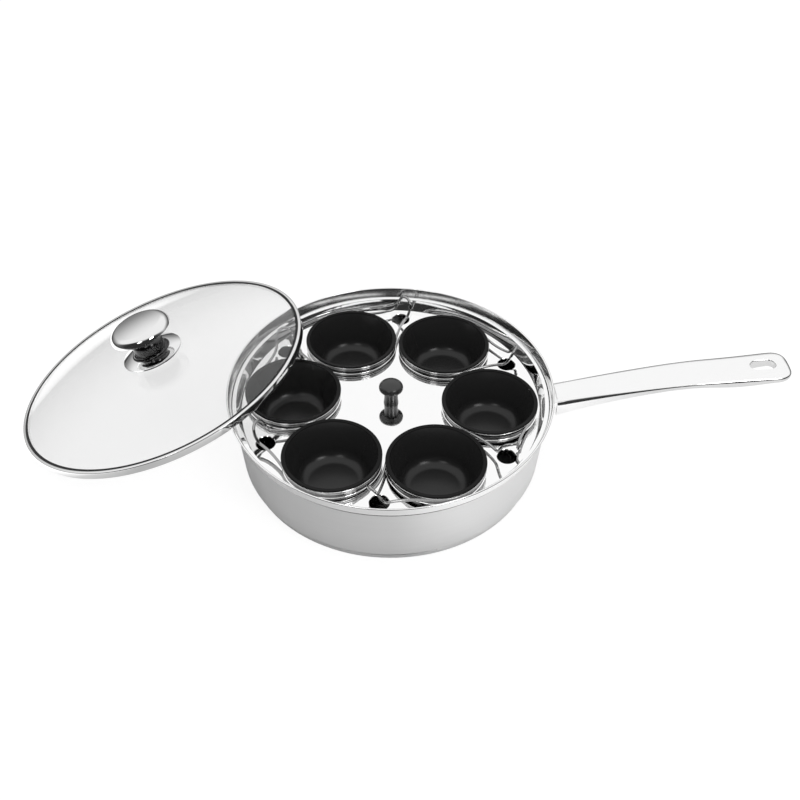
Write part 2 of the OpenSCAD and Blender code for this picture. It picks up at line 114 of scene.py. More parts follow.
class PoacherSizes(bpy.types.PropertyGroup):
    """Sizes of the pan, tray, cups and lid."""

    pan_h: length("Pan height", "Rim above the table", 72)
    rim_d: length("Rim", "Diameter over the flared rim", 276)
    wall_top_d: length("Wall top", "Diameter of the wall under the ledge", 266.6)
    wall_foot_d: length("Wall foot", "Diameter of the wall at its foot", 260)
    lip_depth: length("Lip depth", "Ledge below the rim", 9.5)
    pan_sheet: length("Pan sheet", "Thickness of the pan's steel", 1)
    foot_corner_r: length("Foot corner", "Radius between wall and floor", 4)
    base_d: length("Base", "Diameter of the base cap", 253.6)
    core_t: length("Heat disc", "Thickness of the aluminium disc", 5)
    cap_sheet: length("Base sheet", "Thickness of the base cap", 0.8)
    cap_joint: length("Base joint", "Dark joint over the cap's edge", 2)
    grip_len: length("Grip length", "From the root to the tip", 197)
    root_gap: length("Root gap", "From the wall to the grip's root", 8)
    root_z: length("Root height", "Upper face of the grip at its root", 60.3)
    grip_rise: length("Grip rise", "Rise of the grip from root to tip", 26)
    root_w: length("Root width", "Width of the grip at its root", 28.2)
    tip_w: length("Tip width", "Width of the grip at its widest", 35.4)
    root_t: length("Root depth", "Depth of the grip at its root", 16)
    waist_t: length("Waist depth", "Depth of the grip at its waist", 6)
    swell_t: length("Swell", "Extra depth of the finger swell", 3.2)
    grip_sheet: length("Grip sheet", "Wall of the pressed handle", 1.3)
    grip_edge_r: length("Grip edges", "Radius of the grip's upper edges at its root", 6.5)
    grip_low_r: length("Lower grip edges", "Radius of the grip's lower edges at its root", 3)
    grip_crown: length("Grip crown", "Rise of the upper face along its middle", 1)
    tip_corner_r: length("Tip corners", "Radius of the tip's corners", 13)
    slot_l: length("Slot length", "Length of the hang slot", 21)
    slot_w: length("Slot width", "Width of the hang slot", 11)
    slot_inset: length("Slot inset", "From the slot's middle to the tip", 23)
    slot_edge_r: length("Slot edge", "Radius of the slot's rolled upper edge", 1.2)
    tray_sheet: length("Tray sheet", "Thickness of the tray", 0.8)
    flange_d: length("Tray flange", "Diameter over the tray's flange", 267.2)
    flange_w: length("Flange width", "Width of the tray's flange", 3.2)
    tray_depth: length("Tray depth", "Tray floor below its flange", 11)
    tray_slope: length("Tray slope", "Inward slope of the tray's wall", 3.4)
    cup_ring_r: length("Cup ring", "Radius of the ring of cups", 84.1)
    tray_turn: angle("Tray turn", "Turn of the first cup from the handle", -6.5)
    collar_h: length("Collar", "Height of the collar round a cup hole", 3.3)
    steam_d: length("Steam hole", "Diameter of a steam hole", 16)
    steam_ring_r: length("Steam ring", "Radius of the ring of steam holes", 114.2)
    knob_d: length("Tray knob", "Diameter of the tray knob's head", 20.6)
    knob_waist_d: length("Knob waist", "Diameter of the tray knob's waist", 11.6)
    knob_foot_d: length("Knob foot", "Diameter of the tray knob's foot", 12.6)
    knob_h: length("Knob height", "Height of the tray knob", 23)
    cup_d: length("Cup", "Diameter over a cup's rolled rim", 81.8)
    cup_depth: length("Cup depth", "Inner depth of a cup", 34)
    cup_wall: length("Cup wall", "Wall of a cup", 1.2)
    bead_d: length("Cup rim", "Thickness of a cup's rolled rim", 2.4)
    cup_floor_d: length("Cup floor", "Diameter of a cup's flat floor", 40)
    cup_corner_r: length("Cup corner", "Radius between a cup's floor and wall", 12)
    wire_d: length("Wire", "Diameter of the carrier wire", 2.4)
    loop_reach: length("Loop reach", "Loop's reach from the cup's middle", 66.5)
    loop_rise: length("Loop rise", "Loop's top above the carrier ring", 16.5)
    loop_w: length("Loop width", "Width of the loop at its bend", 18)
    leg_angle: angle("Leg angle", "Where each leg leaves the ring", 47)
    loop_dir: angle("Loop direction", "From a cup's outward line to its loop", -75.5)
    lid_d: length("Lid", "Diameter of the lid's steel rim", 266.8)
    lid_flange_w: length("Lid flange", "Width of the rim over the glass", 2.6)
    lid_sheet: length("Lid sheet", "Thickness of the lid rim's steel", 0.7)
    glass_t: length("Glass", "Thickness of the glass", 4.4)
    dome_rise: length("Dome rise", "Rise of the glass dome", 19)
    lid_lap: length("Lid lap", "Lid's reach past the pan's rim", 29.4)
    lid_side: angle("Lid side", "Side that the lid leans on", 163.9)
    cap_d: length("Lid knob", "Diameter of the lid knob's cap", 55)
    plate_d: length("Knob plate", "Diameter of the lid knob's plate", 54.6)
    plate_h: length("Plate height", "Height of the lid knob's plate", 4.6)
    neck_h: length("Neck height", "Height of the lid knob's neck", 17)
    neck_d: length("Neck", "Diameter of the lid knob's neck", 26)
    cap_h: length("Cap height", "Height of the lid knob's cap", 10)
    cap_flank_w: length("Cap flank", "Width of the rounded flank round the cap", 5.8)
    cap_sag: length("Cap dome", "Rise of the low dome on the cap", 1.2)
    screw_d: length("Screws", "Diameter of the knob screws", 5)
    seat_gap: length("Seat gap", "Running gap between loose pieces", 0.3)
    big_steps: IntProperty(name="Round steps", description="Sides of the large round pieces", default=192)
    small_steps: IntProperty(name="Small steps", description="Sides of the small round pieces", default=96)


class PoacherColours(bpy.types.PropertyGroup):
    """Colours of the finishes."""

    satin_steel: colour("Satin steel", "Outside of the pan", "#e4e4e4")
    bright_steel: colour("Bright steel", "Pan's lip and inside, handle and screws", "#f9f9f9")
    mirror_steel: colour("Mirror steel", "Insert tray", "#fcfcfc")
    # The wire's tint is darker than its steel: painted shade for the dark surroundings mirrored along the
    # wire
    wire_steel: colour("Wire", "Carrier wires", "#a8a8a8")
    # The collars' tint is painted reflection: far darker than the tray's steel, it stands in for the dark
    # surroundings mirrored in the collar walls
    collar_painted_dark_reflection: colour("Collar steel, painted dark", "Raised collars of the tray", "#6e6e6e")
    knob_steel: colour("Knob steel", "Lid knob, lid rim and the cups' bare edges", "#ededed")
    # The neck's tint is painted reflection: a dark copy of the knob's steel, standing in for the dark
    # surroundings that the chrome neck mirrors
    neck_painted_dark_reflection: colour("Knob steel, painted dark", "Neck of the lid knob", "#4a4a4a")
    # The heat disc shows only in the joint over the base cap; its dark tint is painted shade in that recess
    aluminium: colour("Aluminium", "Heat disc", "#3a3a3a")
    coating: colour("Coating", "Non-stick lining of the cups", "#212121")
    # Painted shade: a darker copy of the cups' coating, with less sheen, for the rolled edge, standing in
    # for the dark surroundings it mirrors
    edge_coating_painted_dark: colour("Edge coating", "Non-stick coating on the cups' rolled edge", "#0e0e0e")
    bakelite: colour("Bakelite", "Tray knob", "#242424")
    glass: colour("Glass", "Tempered glass of the lid", "#f2f2f2")
    silicone: colour("Silicone", "Washer and bead on the glass", "#0e0e0f")
    floor: colour("Floor", "Studio floor", "#f4f4f4")


# Plain geometry


def arc(cx, cz, r, start, end, steps=6):
    """Points on an arc, with angles in degrees."""
    turns = [math.radians(start + (end - start) * i / steps) for i in range(steps + 1)]
    return [(cx + r * math.cos(a), cz + r * math.sin(a)) for a in turns]


def near(r, z, *steps):
    """Points beside (r, z), each so many millimetres outward and upward of it."""
    return [(r + out * MM, z + up * MM) for out, up in steps]


def bezier(p0, p1, p2, p3, steps):
    """Points along a cubic curve, without its last point."""
    points = []
    for i in range(steps):
        t = i / steps
        s = 1 - t
        points.append(s**3 * p0 + 3 * s * s * t * p1 + 3 * s * t * t * p2 + t**3 * p3)
    return points


def deselect():
    """Leave edit mode and select nothing."""
    if bpy.context.object and bpy.context.object.mode != "OBJECT":
        bpy.ops.object.mode_set(mode="OBJECT")
    bpy.ops.object.select_all(action="DESELECT")


def only(piece):
    """Make piece the one selected, active object."""
    deselect()
    piece.select_set(True)
    bpy.context.view_layer.objects.active = piece
    return piece


def added(name):
    """Name the primitive that was just added."""
    piece = bpy.context.object
    piece.name = piece.data.name = name
    return piece


def trace(name, points, closed):
    """Draw a line through points, one extruded vertex after another, and stay in edit mode."""
    deselect()
    bpy.ops.mesh.primitive_plane_add(size=MM)
    piece = added(name)
    bpy.ops.object.mode_set(mode="EDIT")
    bpy.ops.mesh.select_all(action="SELECT")
    bpy.ops.mesh.merge(type="CENTER")
    points = [Vector(p) for p in points]
    bpy.ops.transform.translate(value=points[0])
    for here, there in zip(points, points[1:] + points[:1] * closed):
        bpy.ops.mesh.extrude_region_move(TRANSFORM_OT_translate={"value": there - here})
    bpy.ops.mesh.select_all(action="SELECT")
    bpy.ops.mesh.remove_doubles(threshold=MM / 1000)
    return piece


def tidy_shell():
    """Merge seams and turn the faces outward, in edit mode."""
    bpy.ops.mesh.select_all(action="SELECT")
    bpy.ops.mesh.remove_doubles(threshold=MM / 1000)
    bpy.ops.mesh.normals_make_consistent(inside=False)
    bpy.ops.object.mode_set(mode="OBJECT")


def lathe(name, outline, steps):
    """Spin an outline of (radius, height) points about Z. It is closed, or both its ends lie on the axis."""
    closed = outline[0][0] > 0
    piece = trace(name, [(r, 0, z) for r, z in outline], closed)
    bpy.ops.mesh.select_all(action="SELECT")
    bpy.ops.mesh.spin(steps=steps, angle=math.tau, center=(0, 0, 0), axis=(0, 0, 1))
    tidy_shell()
    return piece


def plug(name, r, low, high, steps):
    """A plain upright cylinder that punches a hole."""
    return lathe(name, [(0, low), (r, low), (r, high), (0, high)], steps)


def place(piece, matrix):
    """Move piece by matrix and apply the move to its mesh."""
    only(piece)
    piece.matrix_world = matrix @ piece.matrix_world
    bpy.ops.object.transform_apply(location=True, rotation=True, scale=True)
    return piece


def copied(piece, name, matrix):
    """A copy of piece with its own mesh, moved by matrix."""
    only(piece)
    bpy.ops.object.duplicate(linked=False)
    return place(added(name), matrix)


def joined(pieces, name):
    """Join pieces into one of that name."""
    deselect()
    for piece in pieces:
        piece.select_set(True)
    bpy.context.view_layer.objects.active = pieces[0]
    bpy.ops.object.join()
    return added(name)


def apply_boolean(piece, tool, operation):
    """Cut or join tool into piece, and remove tool."""
    only(piece)
    change = piece.modifiers.new(operation.title(), "BOOLEAN")
    change.operation = operation
    change.solver = "EXACT"
    change.object = tool
    bpy.ops.object.modifier_apply(modifier=change.name)
    bpy.data.objects.remove(tool, do_unlink=True)
    return piece


def bevel_edges(piece, width, segments, over):
    """Round every edge sharper than over, in degrees."""
    only(piece)
    change = piece.modifiers.new("Rounded edges", "BEVEL")
    change.width = width
    change.segments = segments
    change.limit_method = "ANGLE"
    change.angle_limit = math.radians(over)
    change.harden_normals = False
    bpy.ops.object.modifier_apply(modifier=change.name)
    return piece


def node_copy(node, name):
    """A merged copy of a CAD node's mesh, to round and dress."""
    source = only(frame["nodes"][node])
    bpy.ops.object.duplicate(linked=False)
    piece = added(name)
    bpy.ops.object.parent_clear(type="CLEAR_KEEP_TRANSFORM")
    piece.data.materials.clear()
    bpy.ops.object.mode_set(mode="EDIT")
    bpy.ops.mesh.select_all(action="SELECT")
    bpy.ops.mesh.remove_doubles(threshold=MM / 500)
    bpy.ops.mesh.dissolve_limited(angle_limit=math.radians(0.5))
    bpy.ops.object.mode_set(mode="OBJECT")
    source.select_set(False)
    return piece


def dress(piece, body, node, slot, finish, smooth=30):
    """Shade piece, give it its finish, and let it stand for its CAD node."""
    only(piece)
    bpy.ops.object.shade_smooth_by_angle(angle=math.radians(smooth))
    if not piece.data.materials:
        piece.data.materials.append(finish)
    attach(piece, body)
    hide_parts(node)
    return piece


def paint_faces(piece, finishes, choose):
    """Give piece several finishes. choose(centre, normal) returns which one a face takes."""
    for finish in finishes:
        piece.data.materials.append(finish)
    for face in piece.data.polygons:
        face.material_index = choose(face.center, face.normal)


# Finishes


def node(tree, kind, settings=None, **links):
    """Add a shader node, with its settings and its linked or plain inputs."""
    made = tree.nodes.new(kind)
    for key, value in (settings or {}).items():
        setattr(made, key, value)
    for key, value in links.items():
        numbered = key[0] == "i" and key[1:].isdigit()
        socket = made.inputs[int(key[1:]) if numbered else key.replace("_", " ")]
        if isinstance(value, bpy.types.NodeSocket):
            tree.links.new(value, socket)
        else:
            socket.default_value = value
    return made


def blank_finish(name):
    """An empty material, its node tree and its output."""
    finish = bpy.data.materials.new(name)
    finish.use_nodes = True
    finish.node_tree.nodes.clear()
    output = finish.node_tree.nodes.new("ShaderNodeOutputMaterial")
    return finish, finish.node_tree, output


def rgba(value):
    """A colour with full alpha."""
    return (*value, 1)


def grain(tree, scale_mm, stretch=(1, 1, 1), detail=3):
    """Noise on Object coordinates whose spots are about scale_mm across, drawn out by stretch."""
    coords = node(tree, "ShaderNodeTexCoord").outputs["Object"]
    spots = [s * scale_mm * MM for s in stretch]
    spread = node(tree, "ShaderNodeMapping", {"vector_type": "TEXTURE"}, Vector=coords, Scale=spots)
    place_at = spread.outputs["Vector"]
    made = node(tree, "ShaderNodeTexNoise", Vector=place_at, Scale=1.0, Detail=detail, Roughness=0.55)
    return made.outputs["Fac"]


def polished_steel(name, tint, roughness, wear_mm=6):
    """18/10 stainless steel, buffed on a wheel: a clear reflection with faint cloudy buffing marks."""
    finish, tree, output = blank_finish(name)
    cloud = grain(tree, wear_mm)
    scratch = grain(tree, 0.5, stretch=(1, 12, 1), detail=2)
    rough = node(tree, "ShaderNodeMapRange", Value=cloud, To_Min=roughness * 0.7, To_Max=roughness * 1.4)
    shade = node(tree, "ShaderNodeMapRange", Value=cloud, To_Min=0.97, To_Max=1.0)
    tone = node(tree, "ShaderNodeVectorMath", {"operation": "SCALE"}, i0=tint, Scale=shade.outputs["Result"])
    bump = node(tree, "ShaderNodeBump", Height=scratch, Strength=0.015, Distance=RELIEF)
    shader = node(
        tree,
        "ShaderNodeBsdfPrincipled",
        Base_Color=tone.outputs["Vector"],
        Metallic=1.0,
        Roughness=rough.outputs["Result"],
        Normal=bump.outputs["Normal"],
    )
    tree.links.new(shader.outputs["BSDF"], output.inputs["Surface"])
    return finish


def satin_steel(name, tint):
    """Stainless steel brushed round the wall on a lathe: level hairlines draw the reflection out upright.
    Real hairlines are about 0.05 mm; they are drawn at 0.5 mm so that they show."""
    finish, tree, output = blank_finish(name)
    lines = grain(tree, 0.5, stretch=(160, 160, 1), detail=4)
    broad = grain(tree, 5, stretch=(30, 30, 1), detail=2)
    rough = node(tree, "ShaderNodeMapRange", Value=lines, To_Min=0.26, To_Max=0.4)
    shade = node(tree, "ShaderNodeMapRange", Value=broad, To_Min=0.95, To_Max=1.0)
    tone = node(tree, "ShaderNodeVectorMath", {"operation": "SCALE"}, i0=tint, Scale=shade.outputs["Result"])
    bump = node(tree, "ShaderNodeBump", Height=lines, Strength=0.05, Distance=RELIEF)
    round_axis = node(tree, "ShaderNodeTangent", {"direction_type": "RADIAL", "axis": "Z"})
    shader = node(
        tree,
        "ShaderNodeBsdfPrincipled",
        Base_Color=tone.outputs["Vector"],
        Metallic=1.0,
        Roughness=rough.outputs["Result"],
        Normal=bump.outputs["Normal"],
        Tangent=round_axis.outputs["Tangent"],
        Anisotropic=0.6,
        Anisotropic_Rotation=0.25,
    )
    tree.links.new(shader.outputs["BSDF"], output.inputs["Surface"])
    return finish


def sprayed_coating(name, tint, index):
    """PTFE non-stick coating, sprayed and baked: satin black with a very fine orange peel.
    The peel is drawn at 0.8 mm so that it shows."""
    finish, tree, output = blank_finish(name)
    peel = grain(tree, 0.8, detail=3)
    cloud = grain(tree, 14, detail=2)
    rough = node(tree, "ShaderNodeMapRange", Value=cloud, To_Min=0.2, To_Max=0.28)
    shade = node(tree, "ShaderNodeMapRange", Value=peel, To_Min=0.8, To_Max=1.25)
    tone = node(tree, "ShaderNodeVectorMath", {"operation": "SCALE"}, i0=tint, Scale=shade.outputs["Result"])
    bump = node(tree, "ShaderNodeBump", Height=peel, Strength=0.08, Distance=RELIEF)
    shader = node(
        tree,
        "ShaderNodeBsdfPrincipled",
        Base_Color=tone.outputs["Vector"],
        Roughness=rough.outputs["Result"],
        Normal=bump.outputs["Normal"],
        IOR=index,
    )
    tree.links.new(shader.outputs["BSDF"], output.inputs["Surface"])
    return finish


def moulded_bakelite(name, tint):
    """Phenolic resin from a polished mould: near black, with a soft sheen and faint flow marks."""
    finish, tree, output = blank_finish(name)
    flow = grain(tree, 4, stretch=(1, 1, 3), detail=3)
    rough = node(tree, "ShaderNodeMapRange", Value=flow, To_Min=0.24, To_Max=0.36)
    shade = node(tree, "ShaderNodeMapRange", Value=flow, To_Min=0.85, To_Max=1.15)
    tone = node(tree, "ShaderNodeVectorMath", {"operation": "SCALE"}, i0=tint, Scale=shade.outputs["Result"])
    shader = node(
        tree,
        "ShaderNodeBsdfPrincipled",
        Base_Color=tone.outputs["Vector"],
        Roughness=rough.outputs["Result"],
        IOR=1.6,
    )
    tree.links.new(shader.outputs["BSDF"], output.inputs["Surface"])
    return finish


def tempered_glass(name, tint):
    """Clear tempered soda-lime glass: smooth on both faces, with the faintest waviness."""
    finish, tree, output = blank_finish(name)
    wave = grain(tree, 40, detail=1)
    bump = node(tree, "ShaderNodeBump", Height=wave, Strength=0.03, Distance=MM)
    shader = node(
        tree,
        "ShaderNodeBsdfPrincipled",
        Base_Color=rgba(tint),
        Roughness=0.0,
        IOR=1.5,
        Normal=bump.outputs["Normal"],
        Transmission_Weight=1.0,
    )
    tree.links.new(shader.outputs["BSDF"], output.inputs["Surface"])
    return finish


def moulded_silicone(name, tint):
    """Silicone rubber: dull, with a slight dusty mottle."""
    finish, tree, output = blank_finish(name)
    dust = grain(tree, 2)
    rough = node(tree, "ShaderNodeMapRange", Value=dust, To_Min=0.55, To_Max=0.75)
    shader = node(tree, "ShaderNodeBsdfPrincipled", Base_Color=rgba(tint), Roughness=rough.outputs["Result"])
    tree.links.new(shader.outputs["BSDF"], output.inputs["Surface"])
    return finish


def aluminium_painted_joint_shade(name, tint):
    """Pressed aluminium edge in the joint over the base cap, tinted dark as painted shade in that recess."""
    finish, tree, output = blank_finish(name)
    stain = grain(tree, 3, stretch=(6, 6, 1))
    shade = node(tree, "ShaderNodeMapRange", Value=stain, To_Min=0.7, To_Max=1.0)
    tone = node(tree, "ShaderNodeVectorMath", {"operation": "SCALE"}, i0=tint, Scale=shade.outputs["Result"])
    base = tone.outputs["Vector"]
    shader = node(tree, "ShaderNodeBsdfPrincipled", Base_Color=base, Metallic=1.0, Roughness=0.45)
    tree.links.new(shader.outputs["BSDF"], output.inputs["Surface"])
    return finish


FINISHES = {}


def finish_of(name):
    """The finish of that name, made once from the scene's colours."""
    tints = bpy.context.scene.poacher_colours
    makers = {
        "Satin stainless steel": lambda n: satin_steel(n, tints.satin_steel),
        "Polished stainless steel": lambda n: polished_steel(n, tints.bright_steel, 0.12),
        # Wire: steel tinted darker, as painted shade
        "Steel wire tinted dark as painted shade": lambda n: polished_steel(n, tints.wire_steel, 0.09, 3),
        "Mirror stainless steel": lambda n: polished_steel(n, tints.mirror_steel, 0.045, 25),
        # A dark copy of the polished steel for the collars: painted dark reflection
        "Collar steel with painted dark reflection": lambda n: polished_steel(n, tints.collar_painted_dark_reflection, 0.18, 8),
        "Polished chrome steel": lambda n: polished_steel(n, tints.knob_steel, 0.06, 12),
        # A dark copy of the knob's steel: painted dark reflection on the knob's neck and hub
        "Knob steel tinted dark as painted reflection": lambda n: polished_steel(n, tints.neck_painted_dark_reflection, 0.14, 8),
        "Aluminium darkened as painted joint shade": lambda n: aluminium_painted_joint_shade(n, tints.aluminium),
        "Non-stick coating": lambda n: sprayed_coating(n, tints.coating, 1.42),
        # The same coating made darker and less glossy for the rim: painted shade
        "Non-stick coating on the rolled edge, painted darker": lambda n: sprayed_coating(n, tints.edge_coating_painted_dark, 1.22),
        "Bakelite": lambda n: moulded_bakelite(n, tints.bakelite),
        "Tempered glass": lambda n: tempered_glass(n, tints.glass),
        "Silicone rubber": lambda n: moulded_silicone(n, tints.silicone),
    }
    if name not in FINISHES:
        FINISHES[name] = makers[name](name)
    return FINISHES[name]


# Places worked out from the sizes


def places(s):
    """Heights and radii that several pieces share."""
    p = {}
    p["floor_z"] = s.cap_sheet + s.core_t
    p["ledge_z"] = s.pan_h - s.lip_depth
    p["flange_z"] = p["ledge_z"] + s.seat_gap
    p["tray_z"] = p["flange_z"] + s.tray_sheet - s.tray_depth
    p["wire_r"] = s.wire_d / 2
    p["ring_z"] = p["tray_z"] + s.collar_h + s.seat_gap + p["wire_r"]
    p["ring_r"] = s.cup_d / 2 - p["wire_r"] - WIRE_TUCK
    p["cup_top"] = p["ring_z"] + p["wire_r"] + s.bead_d
    p["cup_neck"] = p["ring_r"] - p["wire_r"] - NECK_GAP
    p["collar_r"] = p["cup_neck"] + s.seat_gap
    p["bore_r"] = s.screw_d / 2 + BORE_GAP
    p["root_x"] = s.wall_top_d / 2 + s.root_gap
    return p


def at_cup(s, i):
    """Moves a piece from the pan's axis to the axis of cup i, with its outward line along the radius."""
    turn = s.tray_turn + math.tau * i / len(CUPS)
    return Matrix.Rotation(turn, 4, "Z") @ Matrix.Translation((s.cup_ring_r, 0, 0))


def at_lid(s):
    """Moves a piece from the pan's axis to the leaning lid's own axis."""
    lid_r = s.lid_d / 2
    skirt_r = lid_r - s.lid_flange_w + SKIRT_STEP
    lean = math.asin((s.pan_h + s.seat_gap) / (2 * lid_r - s.lid_lap))
    contact = lid_r - s.lid_lap
    reach = math.sqrt((s.rim_d / 2) ** 2 - skirt_r**2 + contact**2) + contact * math.cos(lean)
    lift = Matrix.Translation((reach, 0, lid_r * math.sin(lean)))
    return Matrix.Rotation(s.lid_side, 4, "Z") @ lift @ Matrix.Rotation(lean, 4, "Y")


def dome_z(s, r):
    """Height of the glass dome's underside over its edge."""
    glass_r = s.lid_d / 2 - s.lid_sheet
    return s.dome_rise * (1 - (r / glass_r) ** 2)


# Pan


class POACHER_OT_pan_shell(bpy.types.Operator):
    """Press the pan's shell: floor, tapered wall, ledge and flared lip"""

    bl_idname = "poacher.pan_shell"
    bl_label = "Pan shell"

    def execute(self, context):
        s = context.scene.poacher_sizes
        p = places(s)
        t = s.pan_sheet
        foot = s.wall_foot_d / 2 - s.foot_corner_r
        corner_z = p["floor_z"] + s.foot_corner_r
        wall, rim = s.wall_top_d / 2, s.rim_d / 2
        crease_z = p["ledge_z"] - 2 * MM
        satin_top = crease_z - 1.25 * MM
        lip = wall + 0.8 * MM
        roll = 0.9 * MM
        outside = [(0, p["floor_z"])]
        outside += arc(foot, corner_z, s.foot_corner_r, -90, 0, 10)
        # The crease pressed round the wall under the lip, then the flare
        outside += near(wall, crease_z, (0, -1.4), (-0.08, -1.2), (-0.5, -0.4), (0, 0.1), (0.6, 0.7))
        outside += near(lip, p["ledge_z"], (0.9, -0.5)) + near(rim, s.pan_h, (-1.5, -2.2))
        outside += arc(rim - roll, s.pan_h - roll, roll, -60, 160, 14)
        inside = near(lip, p["ledge_z"], (0, 0.6), (-0.2, 0))
        inside += near(wall - t, p["ledge_z"], (0.3, 0), (0, -0.3)) + [(wall - t, crease_z)]
        inside += arc(foot, corner_z, s.foot_corner_r - t, 0, -90, 10)
        inside += [(0, p["floor_z"] + t)]
        piece = lathe("pan_shell", outside + inside, s.big_steps)

        def choose(centre, normal):
            out = normal.x * centre.x + normal.y * centre.y
            return 0 if out > 0 and centre.z < satin_top else 1

        satin, bright = finish_of("Satin stainless steel"), finish_of("Polished stainless steel")
        paint_faces(piece, [satin, bright], choose)
        dress(piece, "pan", "pan_body", "pan_steel", None, 24)
        return {"FINISHED"}


class POACHER_OT_base(bpy.types.Operator):
    """Turn the heat disc and the steel cap round it"""

    bl_idname = "poacher.base"
    bl_label = "Base"

    def execute(self, context):
        s = context.scene.poacher_sizes
        p = places(s)
        base = s.base_d / 2
        edge = 0.5 * MM
        core = base - s.cap_sheet
        lip_z = p["floor_z"] - s.cap_joint
        disc = [(0, s.cap_sheet), (core, s.cap_sheet), (core, p["floor_z"]), (0, p["floor_z"])]
        cap = [(0, 0)] + arc(base - edge, edge, edge, -90, 0, 6) + near(base, lip_z, (0, -0.2), (-0.2, 0))
        cap += [(core, lip_z), (core, s.cap_sheet), (0, s.cap_sheet)]
        # The heat disc takes the darkened aluminium, painted shade for the joint
        aluminium, satin = finish_of("Aluminium darkened as painted joint shade"), finish_of("Satin stainless steel")
        dress(lathe("heat_disc", disc, s.big_steps), "pan", "base_core", "heat_disc", aluminium)
        dress(lathe("base_plate", cap, s.big_steps), "pan", "base_cap", "base_steel", satin)
        return {"FINISHED"}


# Handle


def grip_top(s, u):
    """Height of the grip's upper face at fraction u of its length."""
    bow = 1.65
    return s.root_z + s.grip_rise * (bow * u - (bow - 1) * u * u)


def grip_depth(s, u):
    """Depth of the grip at fraction u: deep at the root, thin at the waist, with a finger swell."""
    waist_u, swell_start, swell_end, thinning = 0.5, 0.56, 0.98, 1.3
    depth = s.waist_t
    if u < waist_u:
        depth += (s.root_t - s.waist_t) * (1 - u / waist_u) ** thinning
    if swell_start < u < swell_end:
        depth += s.swell_t * math.sin(math.pi * (u - swell_start) / (swell_end - swell_start)) ** 2
    return depth


def grip_half(s, u):
    """Half the grip's width at fraction u, with the tip's rounded corners."""
    widest_u, spread = 0.92, 1.5
    half = (s.root_w + (s.tip_w - s.root_w) * min(u, widest_u) ** spread) / 2
    short = s.tip_corner_r - (1 - u) * s.grip_len
    if short > 0:
        half -= s.tip_corner_r - math.sqrt(max(s.tip_corner_r**2 - short**2, 0))
    return half


def loft(name, stations, corner, segments, crown=0, low_corner=0):
    """Carry a rounded, crowned cross-section through stations of (x, half width, top, bottom)."""
    deselect()
    x, half, top, low = stations[0]
    middle = Vector((x, 0, (top + low) / 2))
    bpy.ops.mesh.primitive_plane_add(size=1, location=middle, rotation=(0, math.pi / 2, 0))
    piece = added(name)
    bpy.ops.object.transform_apply(location=True, rotation=True, scale=True)
    bpy.ops.object.mode_set(mode="EDIT")
    bpy.ops.mesh.select_all(action="SELECT")
    bpy.ops.transform.resize(value=(1, 2 * half, top - low), center_override=middle)
    upper = (corner, lambda v: v.z > middle.z)
    lower = (low_corner, lambda v: v.z < low + MM / 100)
    for radius, wanted in (upper, lower):
        if radius:
            pick(piece, wanted)
            bpy.ops.mesh.bevel(offset=radius, offset_type="OFFSET", segments=segments, affect="VERTICES")
    if crown:
        raise_middle(piece, top, half - corner, crown)
    bpy.ops.mesh.select_all(action="SELECT")
    for x1, half1, top1, low1 in stations[1:]:
        there = Vector((x1, 0, (top1 + low1) / 2))
        bpy.ops.mesh.extrude_region_move(TRANSFORM_OT_translate={"value": there - middle})
        grow = (1, half1 / half, (top1 - low1) / (top - low))
        bpy.ops.transform.resize(value=grow, center_override=there)
        half, top, low, middle = half1, top1, low1, there
    tidy_shell()
    return piece


def pick(piece, wanted):
    """Select just the vertices whose place passes wanted, in edit mode."""
    bpy.ops.mesh.select_all(action="DESELECT")
    bpy.ops.object.mode_set(mode="OBJECT")
    for vertex in piece.data.vertices:
        vertex.select = wanted(vertex.co)
    bpy.ops.object.mode_set(mode="EDIT")


def raise_middle(piece, top, flat, crown):
    """Divide the flat upper edge of a cross-section and lift it into a low arch."""
    bpy.ops.mesh.select_mode(type="VERT")
    pick(piece, lambda v: v.z > top - MM / 100)
    bpy.ops.mesh.subdivide(number_cuts=3)
    for share in (0.75, 0.25):
        pick(piece, lambda v: v.z > top - MM / 100 and abs(v.y) < flat * share)
        bpy.ops.transform.translate(value=(0, 0, crown * share))


def slot_cutter(slot_l, slot_w, edge_r):
    """An upright block with round ends that flares out over z = 0, to cut a slot with a rolled edge."""
    deselect()
    depth, over, rows = 4 * edge_r + 10 * MM, 3 * MM, 6
    # A little under half, so that the corners of one end don't meet
    end_share = 0.4999
    z, grown = -depth, 0
    bpy.ops.mesh.primitive_plane_add(size=1)
    piece = added("slot")
    bpy.ops.object.mode_set(mode="EDIT")
    bpy.ops.mesh.select_all(action="SELECT")
    bpy.ops.transform.translate(value=(0, 0, z))
    bpy.ops.transform.resize(value=(slot_l, slot_w, 1), center_override=(0, 0, z))
    bpy.ops.mesh.bevel(offset=slot_w * end_share, offset_type="OFFSET", segments=12, affect="VERTICES")
    bpy.ops.mesh.select_all(action="SELECT")
    turns = [math.pi / 2 * i / rows for i in range(rows + 1)]
    levels = [(-edge_r * (1 - math.sin(a)), edge_r * (1 - math.cos(a))) for a in turns]
    for level, grow in levels + [(over, edge_r)]:
        bpy.ops.mesh.extrude_region_move(TRANSFORM_OT_translate={"value": (0, 0, level - z)})
        wider = (slot_l + 2 * grow) / (slot_l + 2 * grown)
        deeper = (slot_w + 2 * grow) / (slot_w + 2 * grown)
        bpy.ops.transform.resize(value=(wider, deeper, 1), center_override=(0, 0, level))
        z, grown = level, grow
    tidy_shell()
    return piece


